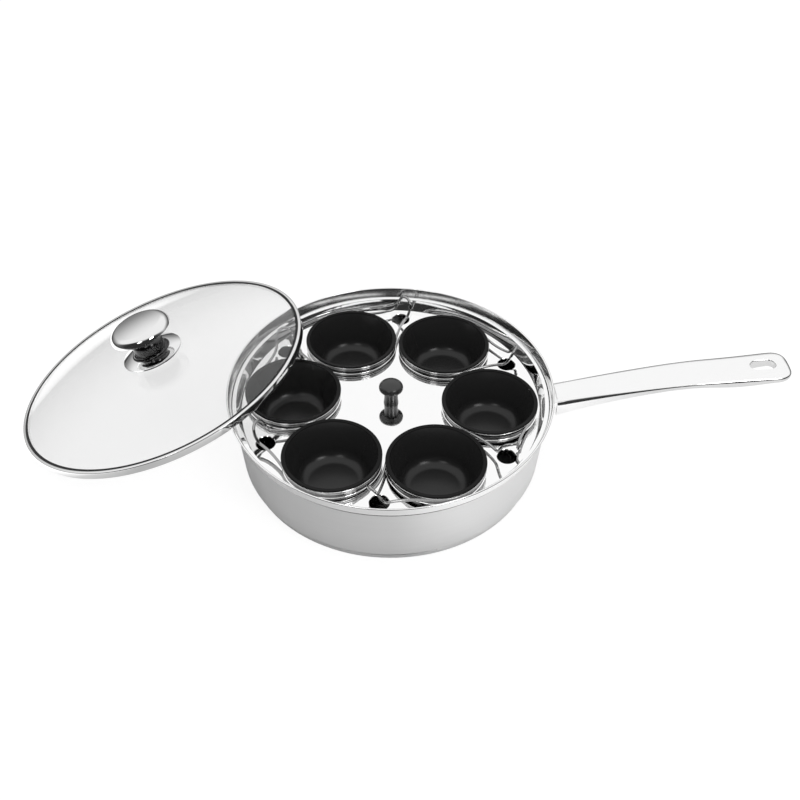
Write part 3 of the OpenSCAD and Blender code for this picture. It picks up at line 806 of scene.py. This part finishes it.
class POACHER_OT_handle(bpy.types.Operator):
    """Form the handle's two pressed halves and the bracket that carries them"""

    bl_idname = "poacher.handle"
    bl_label = "Handle"

    def execute(self, context):
        s = context.scene.poacher_sizes
        root_x = places(s)["root_x"]
        sheet = s.grip_sheet
        pocket_end, strip_share = 0.74, 0.985
        tip_start = 1 - s.tip_corner_r / s.grip_len
        nose, nose_drop = 6 * MM, 0.7
        long_steps, tip_steps, pocket_steps = 44, 10, 32

        def station(u, inset=0, drop=0, lift=0, x=None):
            top = grip_top(s, u)
            low = top - grip_depth(s, u) + lift
            where = root_x + u * s.grip_len if x is None else x
            past_nose = max(1 - (1 - u) * s.grip_len / nose, 0)
            top -= nose_drop * nose * (1 - math.sqrt(1 - past_nose**2))
            return (where, grip_half(s, u) - inset, top - drop, low)

        along = [tip_start * i / long_steps for i in range(long_steps + 1)]
        turns = [math.pi / 2 * i / tip_steps for i in range(1, tip_steps + 1)]
        tip = [tip_start + (1 - tip_start) * math.sin(a) for a in turns]
        outside = [station(u) for u in along + tip]
        body = loft("handle_top", outside, s.grip_edge_r, 8, s.grip_crown, s.grip_low_r)
        # The pocket runs out under the grip, so the lower strip can close it
        hidden = [pocket_end * i / pocket_steps for i in range(pocket_steps + 1)]
        deep = -(s.grip_edge_r + MM)
        mouth = station(0, sheet, sheet, deep, root_x - OVERRUN)
        inner = [mouth] + [station(u, sheet, sheet, deep) for u in hidden]
        pocket = loft("pocket", inner, s.grip_edge_r - sheet, 4)
        apply_boolean(body, pocket, "DIFFERENCE")
        slot_u, du = 1 - s.slot_inset / s.grip_len, 0.01
        crown = s.grip_crown * grip_depth(s, slot_u) / s.root_t
        slot_at = Vector((root_x + slot_u * s.grip_len, 0, grip_top(s, slot_u) + crown))
        slope = (grip_top(s, slot_u + du) - grip_top(s, slot_u - du)) / (2 * du * s.grip_len)
        tilt = Matrix.Rotation(-math.atan(slope), 4, "Y")
        slot = place(slot_cutter(s.slot_l, s.slot_w, s.slot_edge_r), Matrix.Translation(slot_at) @ tilt)
        apply_boolean(body, slot, "DIFFERENCE")
        bevel_edges(body, 0.5 * MM, 3, 50)
        steel = finish_of("Polished stainless steel")
        dress(body, "pan", "handle_upper", "handle_steel", steel, 28)

        def strip_station(u):
            x, half, top, low = station(u, sheet + 0.05 * MM)
            return (x, half, low + sheet, low)

        strip = loft("handle_strip", [strip_station(u * strip_share) for u in hidden], 0, 1)
        bevel_edges(strip, 0.25 * MM, 2, 50)
        dress(strip, "pan", "handle_lower", "handle_steel", steel, 28)
        bracket = bevel_edges(node_copy("handle_bracket", "handle_saddle"), 0.4 * MM, 2, 50)
        dress(bracket, "pan", "handle_bracket", "bracket_steel", steel, 28)
        return {"FINISHED"}


# Tray


class POACHER_OT_tray(bpy.types.Operator):
    """Press the insert tray, raise its collars and punch its holes"""

    bl_idname = "poacher.tray"
    bl_label = "Insert tray"

    def execute(self, context):
        s = context.scene.poacher_sizes
        p = places(s)
        t, z, top = s.tray_sheet, p["tray_z"], p["flange_z"]
        outer = s.flange_d / 2
        wall = outer - s.flange_w
        floor = wall - s.tray_slope
        under = [(0, z - t), (floor - 0.6 * MM, z - t), (floor + t, z), (wall + t, top - t)]
        under += [(wall + t + 0.3 * MM, top), (outer, top)]
        over = [(outer, top + t)] + near(wall, top + t, (0.5, 0), (0.15, -0.12), (0, -0.5))
        over += near(floor, z, (0.6, 0.8), (0.2, 0.25), (-0.6, 0)) + [(0, z)]
        tray = lathe("tray_plate", under + over, s.big_steps)
        hole_r, collar_top = p["collar_r"], z + s.collar_h
        collar_out = hole_r + 1.1 * MM
        skirt, fillet, lip, overlap = 1.4 * MM, 1.2 * MM, 0.45 * MM, 0.2 * MM
        collar = [(hole_r - overlap, z - t), (collar_out + skirt, z - t), (collar_out + skirt, z)]
        collar += arc(collar_out + fillet, z + fillet, fillet, 265, 180, 6)
        collar += arc(collar_out - lip, collar_top - lip, lip, 0, 90, 4)
        collar += arc(hole_r + lip, collar_top - lip, lip, 90, 180, 4)
        collar += [(hole_r, z), (hole_r - overlap, z)]
        one = lathe("collar", collar, s.small_steps)
        collars = joined([copied(one, f"collar_{i}", at_cup(s, i)) for i in CUPS], "collars")
        bpy.data.objects.remove(one, do_unlink=True)
        apply_boolean(tray, collars, "UNION")
        edge, steam_r = 0.35 * MM, s.steam_d / 2
        low, high = z - OVERRUN, z + MM
        flare = [(steam_r, z - edge), (steam_r + edge, z), (steam_r + edge, high)]
        steam = lathe("punch", [(0, low), (steam_r, low)] + flare + [(0, high)], 48)
        round_hole = plug("cup_punch", hole_r, low, z + 2 * s.collar_h, s.small_steps)
        punches = [plug("screw_punch", p["bore_r"], low, high, 32)]
        for i in CUPS:
            punches.append(copied(round_hole, f"cup_punch_{i}", at_cup(s, i)))
            turn = Matrix.Rotation(s.tray_turn + math.tau * (i + 0.5) / len(CUPS), 4, "Z")
            punches.append(copied(steam, f"punch_{i}", turn @ Matrix.Translation((s.steam_ring_r, 0, 0))))
        for pattern in (steam, round_hole):
            bpy.data.objects.remove(pattern, do_unlink=True)
        apply_boolean(tray, joined(punches, "punches"), "DIFFERENCE")
        axes = [at_cup(s, i).translation for i in CUPS]
        # The collars' outer walls take the dark steel, a painted dark reflection
        dark_collar_r, dark_collar_z, flat = collar_out + 0.3 * MM, z + 0.1 * MM, 0.9

        def choose(centre, normal):
            beside = min(math.hypot(centre.x - a.x, centre.y - a.y) for a in axes) < dark_collar_r
            return int(beside and centre.z > dark_collar_z and normal.z < flat)

        paint_faces(tray, [finish_of("Mirror stainless steel"), finish_of("Collar steel with painted dark reflection")], choose)
        dress(tray, "tray", "insert_tray", "tray_steel", None, 24)
        return {"FINISHED"}


class POACHER_OT_tray_knob(bpy.types.Operator):
    """Mould the tray's black mushroom knob and fit its screw and washer"""

    bl_idname = "poacher.tray_knob"
    bl_label = "Tray knob"

    def execute(self, context):
        s = context.scene.poacher_sizes
        p = places(s)
        z, bore = p["tray_z"], p["bore_r"]
        foot, waist, head = s.knob_foot_d / 2, s.knob_waist_d / 2, s.knob_d / 2
        head_share, dome_share, bore_share, rows = 0.68, 0.32, 0.6, 12
        brim = 1.6 * MM
        head_z, bore_top = z + s.knob_h * head_share, z + s.knob_h * bore_share
        dome = s.knob_h * dome_share - brim
        stem_z, stem_h = z + 0.6 * MM, head_z - z - 1.8 * MM
        outline = [(bore, z)] + near(foot, z, (-0.3, 0), (0, 0.3))
        for t in [i / rows for i in range(rows + 1)]:
            outline.append((waist + (foot - waist) * (2 * t - 1) ** 2, stem_z + stem_h * t))
        outline += near(head, head_z, (-0.9, 0), (-0.15, 0.3), (0, 0.9))
        for a in [math.radians(90 * i / rows) for i in range(1, rows + 1)]:
            outline.append((head * math.cos(a), head_z + brim + dome * math.sin(a)))
        outline += [(0, bore_top), (bore, bore_top), (bore, z)]
        knob = lathe("tray_knob_body", close_on_axis(outline), s.small_steps)
        dress(knob, "tray", "tray_knob", "tray_knob_black", finish_of("Bakelite"), 40)
        steel = finish_of("Polished stainless steel")
        for source, name in (("tray_knob_screw", "tray_screw"), ("tray_knob_washer", "tray_washer")):
            piece = bevel_edges(node_copy(source, name), 0.2 * MM, 2, 50)
            dress(piece, "tray", source, "screw_steel", steel, 30)
        return {"FINISHED"}


def close_on_axis(outline):
    """Turn an outline that meets the axis partway round so that it starts and ends there."""
    on_axis = [i for i, (r, _) in enumerate(outline) if r < 1e-9]
    if len(on_axis) < 2:
        return outline
    first, second = on_axis[0], on_axis[1]
    ring = outline[:-1] if outline[0] == outline[-1] else outline
    return ring[second:] + ring[: first + 1]


# Cups and carriers


class POACHER_OT_cups(bpy.types.Operator):
    """Spin one poaching cup, its rolled rim bare on the outside, and copy it round the tray"""

    bl_idname = "poacher.cups"
    bl_label = "Poaching cups"

    def execute(self, context):
        s = context.scene.poacher_sizes
        p = places(s)
        w, b, corner = s.cup_wall, s.bead_d / 2, s.cup_corner_r
        top, neck, floor = p["cup_top"], p["cup_neck"], s.cup_floor_d / 2
        base = top - s.cup_depth - w
        bead_r = s.cup_d / 2 - b
        # The corner's arc ends where the wall's slope leaves it, a little inside its radius
        corner_share = 0.96
        taper = math.degrees(math.atan2(neck - floor - corner * corner_share, top - base - corner))
        outline = [(0, base)] + arc(floor, base + corner, corner, -90, -taper, 14)
        outline += [(neck, top - 2 * b), (bead_r, top - 2 * b)]
        outline += arc(bead_r, top - b, b, -60, 120, 12) + near(neck - w, top, (0.35, -0.25), (0, -0.8))
        outline += arc(floor, base + corner, corner - w, -taper, -90, 14) + [(0, base + w)]
        one = lathe("cup", outline, s.small_steps)
        bare_r, edge_z, outward = bead_r - 0.6 * b, top - 0.8 * MM, 0.3

        def choose(centre, normal):
            radius = math.hypot(centre.x, centre.y)
            out = (normal.x * centre.x + normal.y * centre.y) / max(radius, MM)
            if radius > bare_r and out > outward and normal.z < outward:
                return 1
            # The bead's top and upper faces take the darker coating copy, as painted shade
            return 2 if centre.z > edge_z or radius > neck else 0

        names = ("Non-stick coating", "Polished chrome steel", "Non-stick coating on the rolled edge, painted darker")
        paint_faces(one, [finish_of(name) for name in names], choose)
        for i in CUPS:
            piece = copied(one, f"cup_bowl_{i + 1}", at_cup(s, i))
            dress(piece, f"poaching_cup_{i + 1}", f"cup_{i + 1}", "cup_coating", None, 35)
        bpy.data.objects.remove(one, do_unlink=True)
        return {"FINISHED"}


def carrier_path(s, p):
    """Centre line of one carrier: round the cup, out along two legs and up to the loop."""
    leg_steps, loop_steps, ring_steps = 14, 16, 72
    tip = Vector((s.loop_reach, 0, s.loop_rise))

    def on_ring(a):
        return Vector((p["ring_r"] * math.cos(a), p["ring_r"] * math.sin(a), 0))

    def leg(side):
        """One leg, off the ring to its bend and up to the tip. Its curves' handles are in millimetres."""
        a = s.leg_angle
        start = on_ring(side * a)
        bend = Vector((s.loop_reach - 9 * MM, side * s.loop_w / 2, 2.2 * MM))
        away = Vector((math.sin(a), -side * math.cos(a), 0)) * 14 * MM
        back = Vector((9, -side * 2.6, 1.2)) * MM
        points = bezier(start, start + away, bend - back, bend, leg_steps)
        rise = bend + Vector((5.5, -side * 1.2, 1.6)) * MM
        crown = tip - Vector((1.5 * MM, -side * s.loop_w * 0.55, -0.2 * MM))
        return points + bezier(bend, rise, crown, tip, loop_steps)

    span = math.tau - 2 * s.leg_angle
    ring = [on_ring(s.leg_angle + span * i / ring_steps) for i in range(1, ring_steps)]
    return ring + leg(-1) + [tip] + leg(1)[::-1]


class POACHER_OT_carriers(bpy.types.Operator):
    """Bend one wire carrier with its lifting loop and copy it to every cup"""

    bl_idname = "poacher.carriers"
    bl_label = "Wire carriers"

    def execute(self, context):
        s = context.scene.poacher_sizes
        p = places(s)
        wire = trace("carrier", carrier_path(s, p), True)
        bpy.ops.object.mode_set(mode="OBJECT")
        bpy.ops.object.convert(target="CURVE")
        wire = bpy.context.object
        wire.data.dimensions = "3D"
        wire.data.bevel_depth = p["wire_r"]
        wire.data.bevel_resolution = 4
        bpy.ops.object.convert(target="MESH")
        wire = bpy.context.object
        bpy.ops.object.mode_set(mode="EDIT")
        tidy_shell()
        turn = Matrix.Translation((0, 0, p["ring_z"])) @ Matrix.Rotation(s.loop_dir, 4, "Z")
        steel = finish_of("Steel wire tinted dark as painted shade")
        for i in CUPS:
            piece = copied(wire, f"carrier_wire_{i + 1}", at_cup(s, i) @ turn)
            dress(piece, f"poaching_cup_{i + 1}", f"cup_carrier_{i + 1}", "wire_steel", steel, 60)
        bpy.data.objects.remove(wire, do_unlink=True)
        return {"FINISHED"}


# Lid


class POACHER_OT_lid(bpy.types.Operator):
    """Blow the lid's glass dome and fold the steel rim round its edge"""

    bl_idname = "poacher.lid"
    bl_label = "Lid"

    def execute(self, context):
        s = context.scene.poacher_sizes
        bore = places(s)["bore_r"]
        lid_r = s.lid_d / 2
        glass_r = lid_r - s.lid_sheet
        side_r = glass_r - GLASS_GAP
        z = s.lid_sheet + GLASS_GAP
        edge, rows = 1.2 * MM, 40
        rings = [bore + (glass_r - edge - bore) * i / rows for i in range(rows + 1)]
        glass = [(r, z + dome_z(s, r)) for r in rings]
        glass += [(side_r, z + edge), (side_r, z + s.glass_t - edge / 2)]
        glass += [(r, z + s.glass_t + dome_z(s, r)) for r in reversed(rings)]
        dome = place(lathe("glass_dome", glass, s.big_steps), at_lid(s))
        dress(dome, "lid", "lid_glass", "lid_glass", finish_of("Tempered glass"), 30)
        t = s.lid_sheet
        top_in = lid_r - s.lid_flange_w
        skirt_r = top_in + SKIRT_STEP
        flange_z = z + s.glass_t + dome_z(s, top_in) + RIM_SEAT
        fold = 0.9 * MM
        rim = [(skirt_r, 0)] + near(lid_r, 0, (-0.4, 0), (-0.1, 0.12), (0, 0.4))
        rim += arc(lid_r - fold, flange_z + t - fold, fold, 0, 90, 8)
        rim += near(top_in, flange_z + t, (0.2, 0), (0, -0.2)) + [(top_in, flange_z)]
        rim += [(lid_r - t, flange_z), (lid_r - t, t), (skirt_r, t)]
        band = lathe("lid_band", rim, s.big_steps)
        apply_boolean(band, seam_blade(lid_r), "DIFFERENCE")
        place(band, at_lid(s))
        dress(band, "lid", "lid_rim", "lid_rim_steel", finish_of("Polished chrome steel"), 26)
        self.seal(s, top_in, flange_z, t)
        return {"FINISHED"}

    def seal(self, s, top_in, flange_z, t):
        """Run a thin dark bead of glazing silicone along the inner edge of the steel rim."""
        width = 2.3 * MM
        inner = top_in - width
        crest_z = flange_z + 0.5 * MM + RIM_SEAT

        def glass_at(r):
            return flange_z - RIM_SEAT + dome_z(s, r) - dome_z(s, top_in)

        bead = near(inner, glass_at(inner), (0, 0.01)) + near(top_in, glass_at(top_in), (-0.02, 0.01))
        bead += near(top_in, flange_z + t, (-0.02, -0.25)) + [(top_in - width / 2, crest_z)]
        bead += near(inner, glass_at(inner), (0.2, 0.16))
        ring = place(lathe("lid_seal_bead", bead, s.big_steps), at_lid(s))
        only(ring)
        bpy.ops.object.shade_smooth_by_angle(angle=math.radians(30))
        ring.data.materials.append(finish_of("Silicone rubber"))
        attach(ring, "lid")


def seam_blade(lid_r):
    """A thin upright blade that cuts the butt joint into the lid's steel band."""
    deselect()
    joint_turn = math.radians(106)
    middle_z = 2 * MM
    bpy.ops.mesh.primitive_cube_add(size=1)
    blade = added("seam")
    bpy.ops.object.mode_set(mode="EDIT")
    bpy.ops.mesh.select_all(action="SELECT")
    bpy.ops.transform.resize(value=(0.5 * MM, 0.35 * MM, 12 * MM), center_override=(0, 0, 0))
    bpy.ops.mesh.subdivide(number_cuts=1)
    bpy.ops.object.mode_set(mode="OBJECT")
    return place(blade, Matrix.Rotation(joint_turn, 4, "Z") @ Matrix.Translation((lid_r, 0, middle_z)))


class POACHER_OT_lid_knob(bpy.types.Operator):
    """Turn the lid's knob in three pieces and fit its screw and washer"""

    bl_idname = "poacher.lid_knob"
    bl_label = "Lid knob"

    def execute(self, context):
        s = context.scene.poacher_sizes
        bore = places(s)["bore_r"]
        glass_top = s.lid_sheet + GLASS_GAP + s.dome_rise + s.glass_t
        plate, neck, cap = s.plate_d / 2, s.neck_d / 2, s.cap_d / 2
        sag = dome_z(s, 0) - dome_z(s, plate) - GLASS_GAP
        z, plate_top = glass_top, glass_top + s.plate_h
        hub, fillet = neck + 4.5 * MM, 2 * MM
        base = [(bore, z), (plate / 2, z)] + near(plate, z - sag, (-0.5, 0), (-0.1, 0.15), (0, 0.5))
        base += near(plate, z, (-0.25, 0.7), (-0.8, 1.1)) + [(hub, plate_top - fillet)]
        base += arc(hub, plate_top, fillet, 265, 200, 5)
        base += [(neck + 1.5 * MM, plate_top), (bore, plate_top)]
        z += s.plate_h
        foot_flare, head_flare, rows = 1.2 * MM, 6 * MM, 16
        waist = [(bore, z)]
        for t in [i / rows for i in range(rows + 1)]:
            waist.append((neck + foot_flare * (1 - t) + head_flare * t**3, z + s.neck_h * t))
        waist += [(bore, z + s.neck_h)]
        z += s.neck_h
        brim, screw_depth = 2.4 * MM, 4 * MM
        dome = [(bore, z), (neck + 6.4 * MM, z)] + near(cap, z + brim, (-1.2, -0.8), (-0.3, -0.35))
        dome_r, shoulder = cap - s.cap_flank_w, z + s.cap_h - s.cap_sag
        flank_h = shoulder - z - brim
        dome += [(cap - s.cap_flank_w * across, z + brim + flank_h * up) for across, up in CAP_FLANK]
        for r in [dome_r * (1 - i / rows) for i in range(rows)]:
            dome.append((r, z + s.cap_h - s.cap_sag * (r / dome_r) ** 2))
        dome += [(0, z + s.cap_h), (0, z + screw_depth), (bore, z + screw_depth), (bore, z)]
        steel = finish_of("Polished chrome steel")
        dark = finish_of("Knob steel tinted dark as painted reflection")
        parts = (
            ("knob_plate", base, "lid_knob_plate", "lid_knob_steel", steel),
            ("knob_neck", waist, "lid_knob_neck", "lid_knob_neck", dark),
            ("knob_cap", close_on_axis(dome), "lid_knob_cap", "lid_knob_steel", steel),
        )
        # The plate's hub round the neck takes the dark copy too, as painted dark reflection
        hub_r, hub_z = neck + 4.6 * MM, glass_top + s.plate_h - 2.2 * MM

        def choose(centre, normal):
            return int(math.hypot(centre.x, centre.y) < hub_r and centre.z > hub_z)

        for name, outline, cad, slot, finish in parts:
            piece = lathe(name, outline, s.small_steps)
            if name == "knob_plate":
                paint_faces(piece, [steel, dark], choose)
            dress(place(piece, at_lid(s)), "lid", cad, slot, finish, 30)
        screw = bevel_edges(node_copy("lid_knob_screw", "lid_screw"), 0.2 * MM, 2, 50)
        dress(screw, "lid", "lid_knob_screw", "screw_steel", steel, 30)
        washer = bevel_edges(node_copy("lid_knob_washer", "lid_seal"), 0.3 * MM, 2, 50)
        dress(washer, "lid", "lid_knob_washer", "seal_rubber", finish_of("Silicone rubber"), 30)
        return {"FINISHED"}


# Stage


def looked_at(tree, ray):
    """1 where the camera sees a surface, straight or through glass, and 0 elsewhere."""
    straight, through = ray.outputs["Is Camera Ray"], ray.outputs["Is Transmission Ray"]
    return node(tree, "ShaderNodeMath", {"operation": "MAXIMUM"}, i0=straight, i1=through).outputs[0]


def studio_floor(tint):
    """Pale seamless floor: white to the camera and through glass, with its soft shadow kept.
    In reflections it is shaded by the object on it, carries painted light and shade across it, and fades out
    where a real sheet of paper ends."""
    finish, tree, output = blank_finish("Studio floor")
    add, least, most = {"operation": "ADD"}, {"operation": "MINIMUM"}, {"operation": "MAXIMUM"}
    ray = node(tree, "ShaderNodeLightPath")
    plain = node(tree, "ShaderNodeBsdfDiffuse", Color=rgba(tint))
    faint = node(tree, "ShaderNodeBsdfDiffuse", Color=(0.24, 0.24, 0.24, 1))
    white = node(tree, "ShaderNodeEmission", Color=(1, 1, 1, 1), Strength=0.84)
    seen = node(tree, "ShaderNodeAddShader", i0=faint.outputs[0], i1=white.outputs[0])
    place_at = node(tree, "ShaderNodeTexCoord").outputs["Object"]
    away = node(tree, "ShaderNodeVectorMath", {"operation": "LENGTH"}, i0=place_at).outputs["Value"]
    x = node(tree, "ShaderNodeSeparateXYZ", Vector=place_at).outputs["X"]

    # The paper's end: past it the floor goes dark in reflections only, a painted dark surround
    sheet = node(
        tree,
        "ShaderNodeMapRange",
        {"interpolation_type": "SMOOTHSTEP"},
        Value=away,
        From_Min=0.42,
        From_Max=0.7,
        To_Min=1.0,
        To_Max=0.05,
    ).outputs["Result"]

    # Painted light and shade on the paper, seen only in reflections: darker to the left, lighter to the
    # right and at the far left, and darker again by the grip, as the pan's wall, lid and grip mirror it
    tone = node(tree, "ShaderNodeMapRange", Value=x, From_Min=-0.22, From_Max=0.22, To_Min=0.5, To_Max=0.92)
    bright = node(tree, "ShaderNodeMapRange", Value=x, From_Min=0.0, From_Max=0.09, To_Min=0.0, To_Max=0.26)
    front = node(tree, "ShaderNodeMath", add, i0=tone.outputs[0], i1=bright.outputs[0])
    far = node(tree, "ShaderNodeMapRange", Value=x, From_Min=-0.24, From_Max=-0.32, To_Min=0.0, To_Max=0.95)
    broad = node(tree, "ShaderNodeMath", most, i0=front.outputs[0], i1=far.outputs[0])
    grip = node(tree, "ShaderNodeMapRange", Value=x, From_Min=0.17, From_Max=0.25, To_Min=1.0, To_Max=0.68)
    level = node(tree, "ShaderNodeMath", least, i0=broad.outputs[0], i1=grip.outputs[0]).outputs[0]
    matt = node(tree, "ShaderNodeBsdfDiffuse", Color=level)

    # A glow that stands in for light which the object's own shadow would take away
    under = node(tree, "ShaderNodeMapRange", Value=away, From_Min=0.128, From_Max=0.15, To_Max=0.15)
    lift = node(tree, "ShaderNodeMapRange", Value=x, From_Min=-0.2, From_Max=-0.3, To_Min=0.0, To_Max=0.75)
    power = node(tree, "ShaderNodeMath", most, i0=under.outputs[0], i1=lift.outputs[0])
    glow = node(tree, "ShaderNodeEmission", Color=level, Strength=power.outputs[0])
    paper = node(tree, "ShaderNodeAddShader", i0=matt.outputs[0], i1=glow.outputs[0])
    dark = node(tree, "ShaderNodeEmission", Color=(0, 0, 0, 1), Strength=0.0)
    mirrored = node(tree, "ShaderNodeMixShader", i0=sheet, i1=dark.outputs[0], i2=paper.outputs[0])
    glossy = ray.outputs["Is Glossy Ray"]
    rest = node(tree, "ShaderNodeMixShader", i0=glossy, i1=plain.outputs[0], i2=mirrored.outputs[0])
    direct = looked_at(tree, ray)
    mixed = node(tree, "ShaderNodeMixShader", i0=direct, i1=rest.outputs[0], i2=seen.outputs[0])
    tree.links.new(mixed.outputs[0], output.inputs["Surface"])
    return finish


def studio_sky(context):
    """An even pale studio that lights the object plainly. In reflections it is white overhead and
    behind the object, with a dark band round the horizon that stands tall on the camera's side."""
    world = context.scene.world or bpy.data.worlds.new("Studio")
    context.scene.world = world
    world.use_nodes = True
    tree = world.node_tree
    tree.nodes.clear()
    output = tree.nodes.new("ShaderNodeOutputWorld")
    ray = node(tree, "ShaderNodeLightPath")
    way = node(tree, "ShaderNodeTexCoord").outputs["Generated"]
    split = node(tree, "ShaderNodeSeparateXYZ", Vector=way)
    smooth = {"interpolation_type": "SMOOTHSTEP"}
    y, z = split.outputs["Y"], split.outputs["Z"]
    camera_side = node(tree, "ShaderNodeMapRange", smooth, Value=y, From_Min=0.3, From_Max=-0.55)
    front = camera_side.outputs["Result"]
    band = node(tree, "ShaderNodeMapRange", Value=front, To_Min=0.02, To_Max=0.7)
    fade = node(tree, "ShaderNodeMapRange", Value=front, To_Min=0.48, To_Max=0.92)
    low = node(tree, "ShaderNodeMapRange", Value=front, To_Min=0.22, To_Max=0.03)
    sky = node(
        tree,
        "ShaderNodeMapRange",
        smooth,
        Value=z,
        From_Min=band.outputs["Result"],
        From_Max=fade.outputs["Result"],
        To_Min=low.outputs["Result"],
        To_Max=1.0,
    )
    even = node(tree, "ShaderNodeBackground", Color=(0.82, 0.82, 0.82, 1), Strength=1.0)
    mirrored = node(tree, "ShaderNodeBackground", Color=sky.outputs["Result"], Strength=1.0)
    white = node(tree, "ShaderNodeBackground", Color=(1, 1, 1, 1), Strength=1.0)
    glossy = ray.outputs["Is Glossy Ray"]
    lit = node(tree, "ShaderNodeMixShader", i0=glossy, i1=even.outputs[0], i2=mirrored.outputs[0])
    direct = looked_at(tree, ray)
    mixed = node(tree, "ShaderNodeMixShader", i0=direct, i1=lit.outputs[0], i2=white.outputs[0])
    tree.links.new(mixed.outputs[0], output.inputs["Surface"])


def soft_lamp(name, place_at, aim, size, power):
    """A square softbox that faces aim."""
    bpy.ops.object.light_add(type="AREA", location=place_at)
    lamp = bpy.context.object
    lamp.name = lamp.data.name = name
    lamp.data.shape = "SQUARE"
    lamp.data.size = size
    lamp.data.energy = power
    lamp.rotation_euler = (Vector(aim) - Vector(place_at)).to_track_quat("-Z", "Y").to_euler()


class POACHER_OT_stage(bpy.types.Operator):
    """Lay the pale floor and set the soft lamps and the camera"""

    bl_idname = "poacher.stage"
    bl_label = "Stage"

    def execute(self, context):
        deselect()
        bpy.ops.mesh.primitive_plane_add(size=8, location=(0, 0, 0))
        floor = added("studio_floor")
        floor.data.materials.append(studio_floor(context.scene.poacher_colours.floor))
        studio_sky(context)
        lit_at = (0, 0, 0.03)
        soft_lamp("Key softbox", (0.75, -1.0, 1.3), lit_at, 0.5, 4)
        soft_lamp("Fill softbox", (-0.6, -1.15, 1.3), lit_at, 0.4, 1.6)
        # Solved from circles in the photograph: 828 mm away, 43 degrees down
        eye = Vector((-0.01947, -0.62134, 0.63821))
        target = Vector((0.00686, -0.01839, 0.072))
        roll = math.radians(0.275)
        bpy.ops.object.camera_add(location=eye)
        camera = context.object
        camera.name = camera.data.name = "Catalogue camera"
        camera.data.lens = 44.72
        camera.data.sensor_width = 36
        aim = (target - eye).to_track_quat("-Z", "Y").to_matrix().to_4x4()
        camera.matrix_world = Matrix.Translation(eye) @ aim @ Matrix.Rotation(roll, 4, "Z")
        context.scene.camera = camera
        context.scene.view_settings.view_transform = "Standard"
        return {"FINISHED"}


class POACHER_PT_panel(bpy.types.Panel):
    """Lists the steps that dress the egg poacher"""

    bl_label = "Egg Poacher Pan"
    bl_idname = "POACHER_PT_panel"
    bl_space_type = "VIEW_3D"
    bl_region_type = "UI"
    bl_category = "Egg Poacher"

    def draw(self, context):
        for step in STEPS:
            self.layout.operator(step.bl_idname)


STEPS = (
    POACHER_OT_pan_shell,
    POACHER_OT_base,
    POACHER_OT_handle,
    POACHER_OT_tray,
    POACHER_OT_tray_knob,
    POACHER_OT_cups,
    POACHER_OT_carriers,
    POACHER_OT_lid,
    POACHER_OT_lid_knob,
    POACHER_OT_stage,
)
CLASSES = (PoacherSizes, PoacherColours) + STEPS + (POACHER_PT_panel,)


def register():
    """Add the classes, and the sizes and colours to the scene."""
    for made in CLASSES:
        bpy.utils.register_class(made)
    bpy.types.Scene.poacher_sizes = PointerProperty(type=PoacherSizes)
    bpy.types.Scene.poacher_colours = PointerProperty(type=PoacherColours)


def unregister():
    """Take away what register added."""
    del bpy.types.Scene.poacher_colours
    del bpy.types.Scene.poacher_sizes
    for made in reversed(CLASSES):
        bpy.utils.unregister_class(made)


def main():
    register()
    for step in STEPS:
        group, operator = step.bl_idname.split(".")
        getattr(getattr(bpy.ops, group), operator)()


if __name__ == "__main__":
    main()
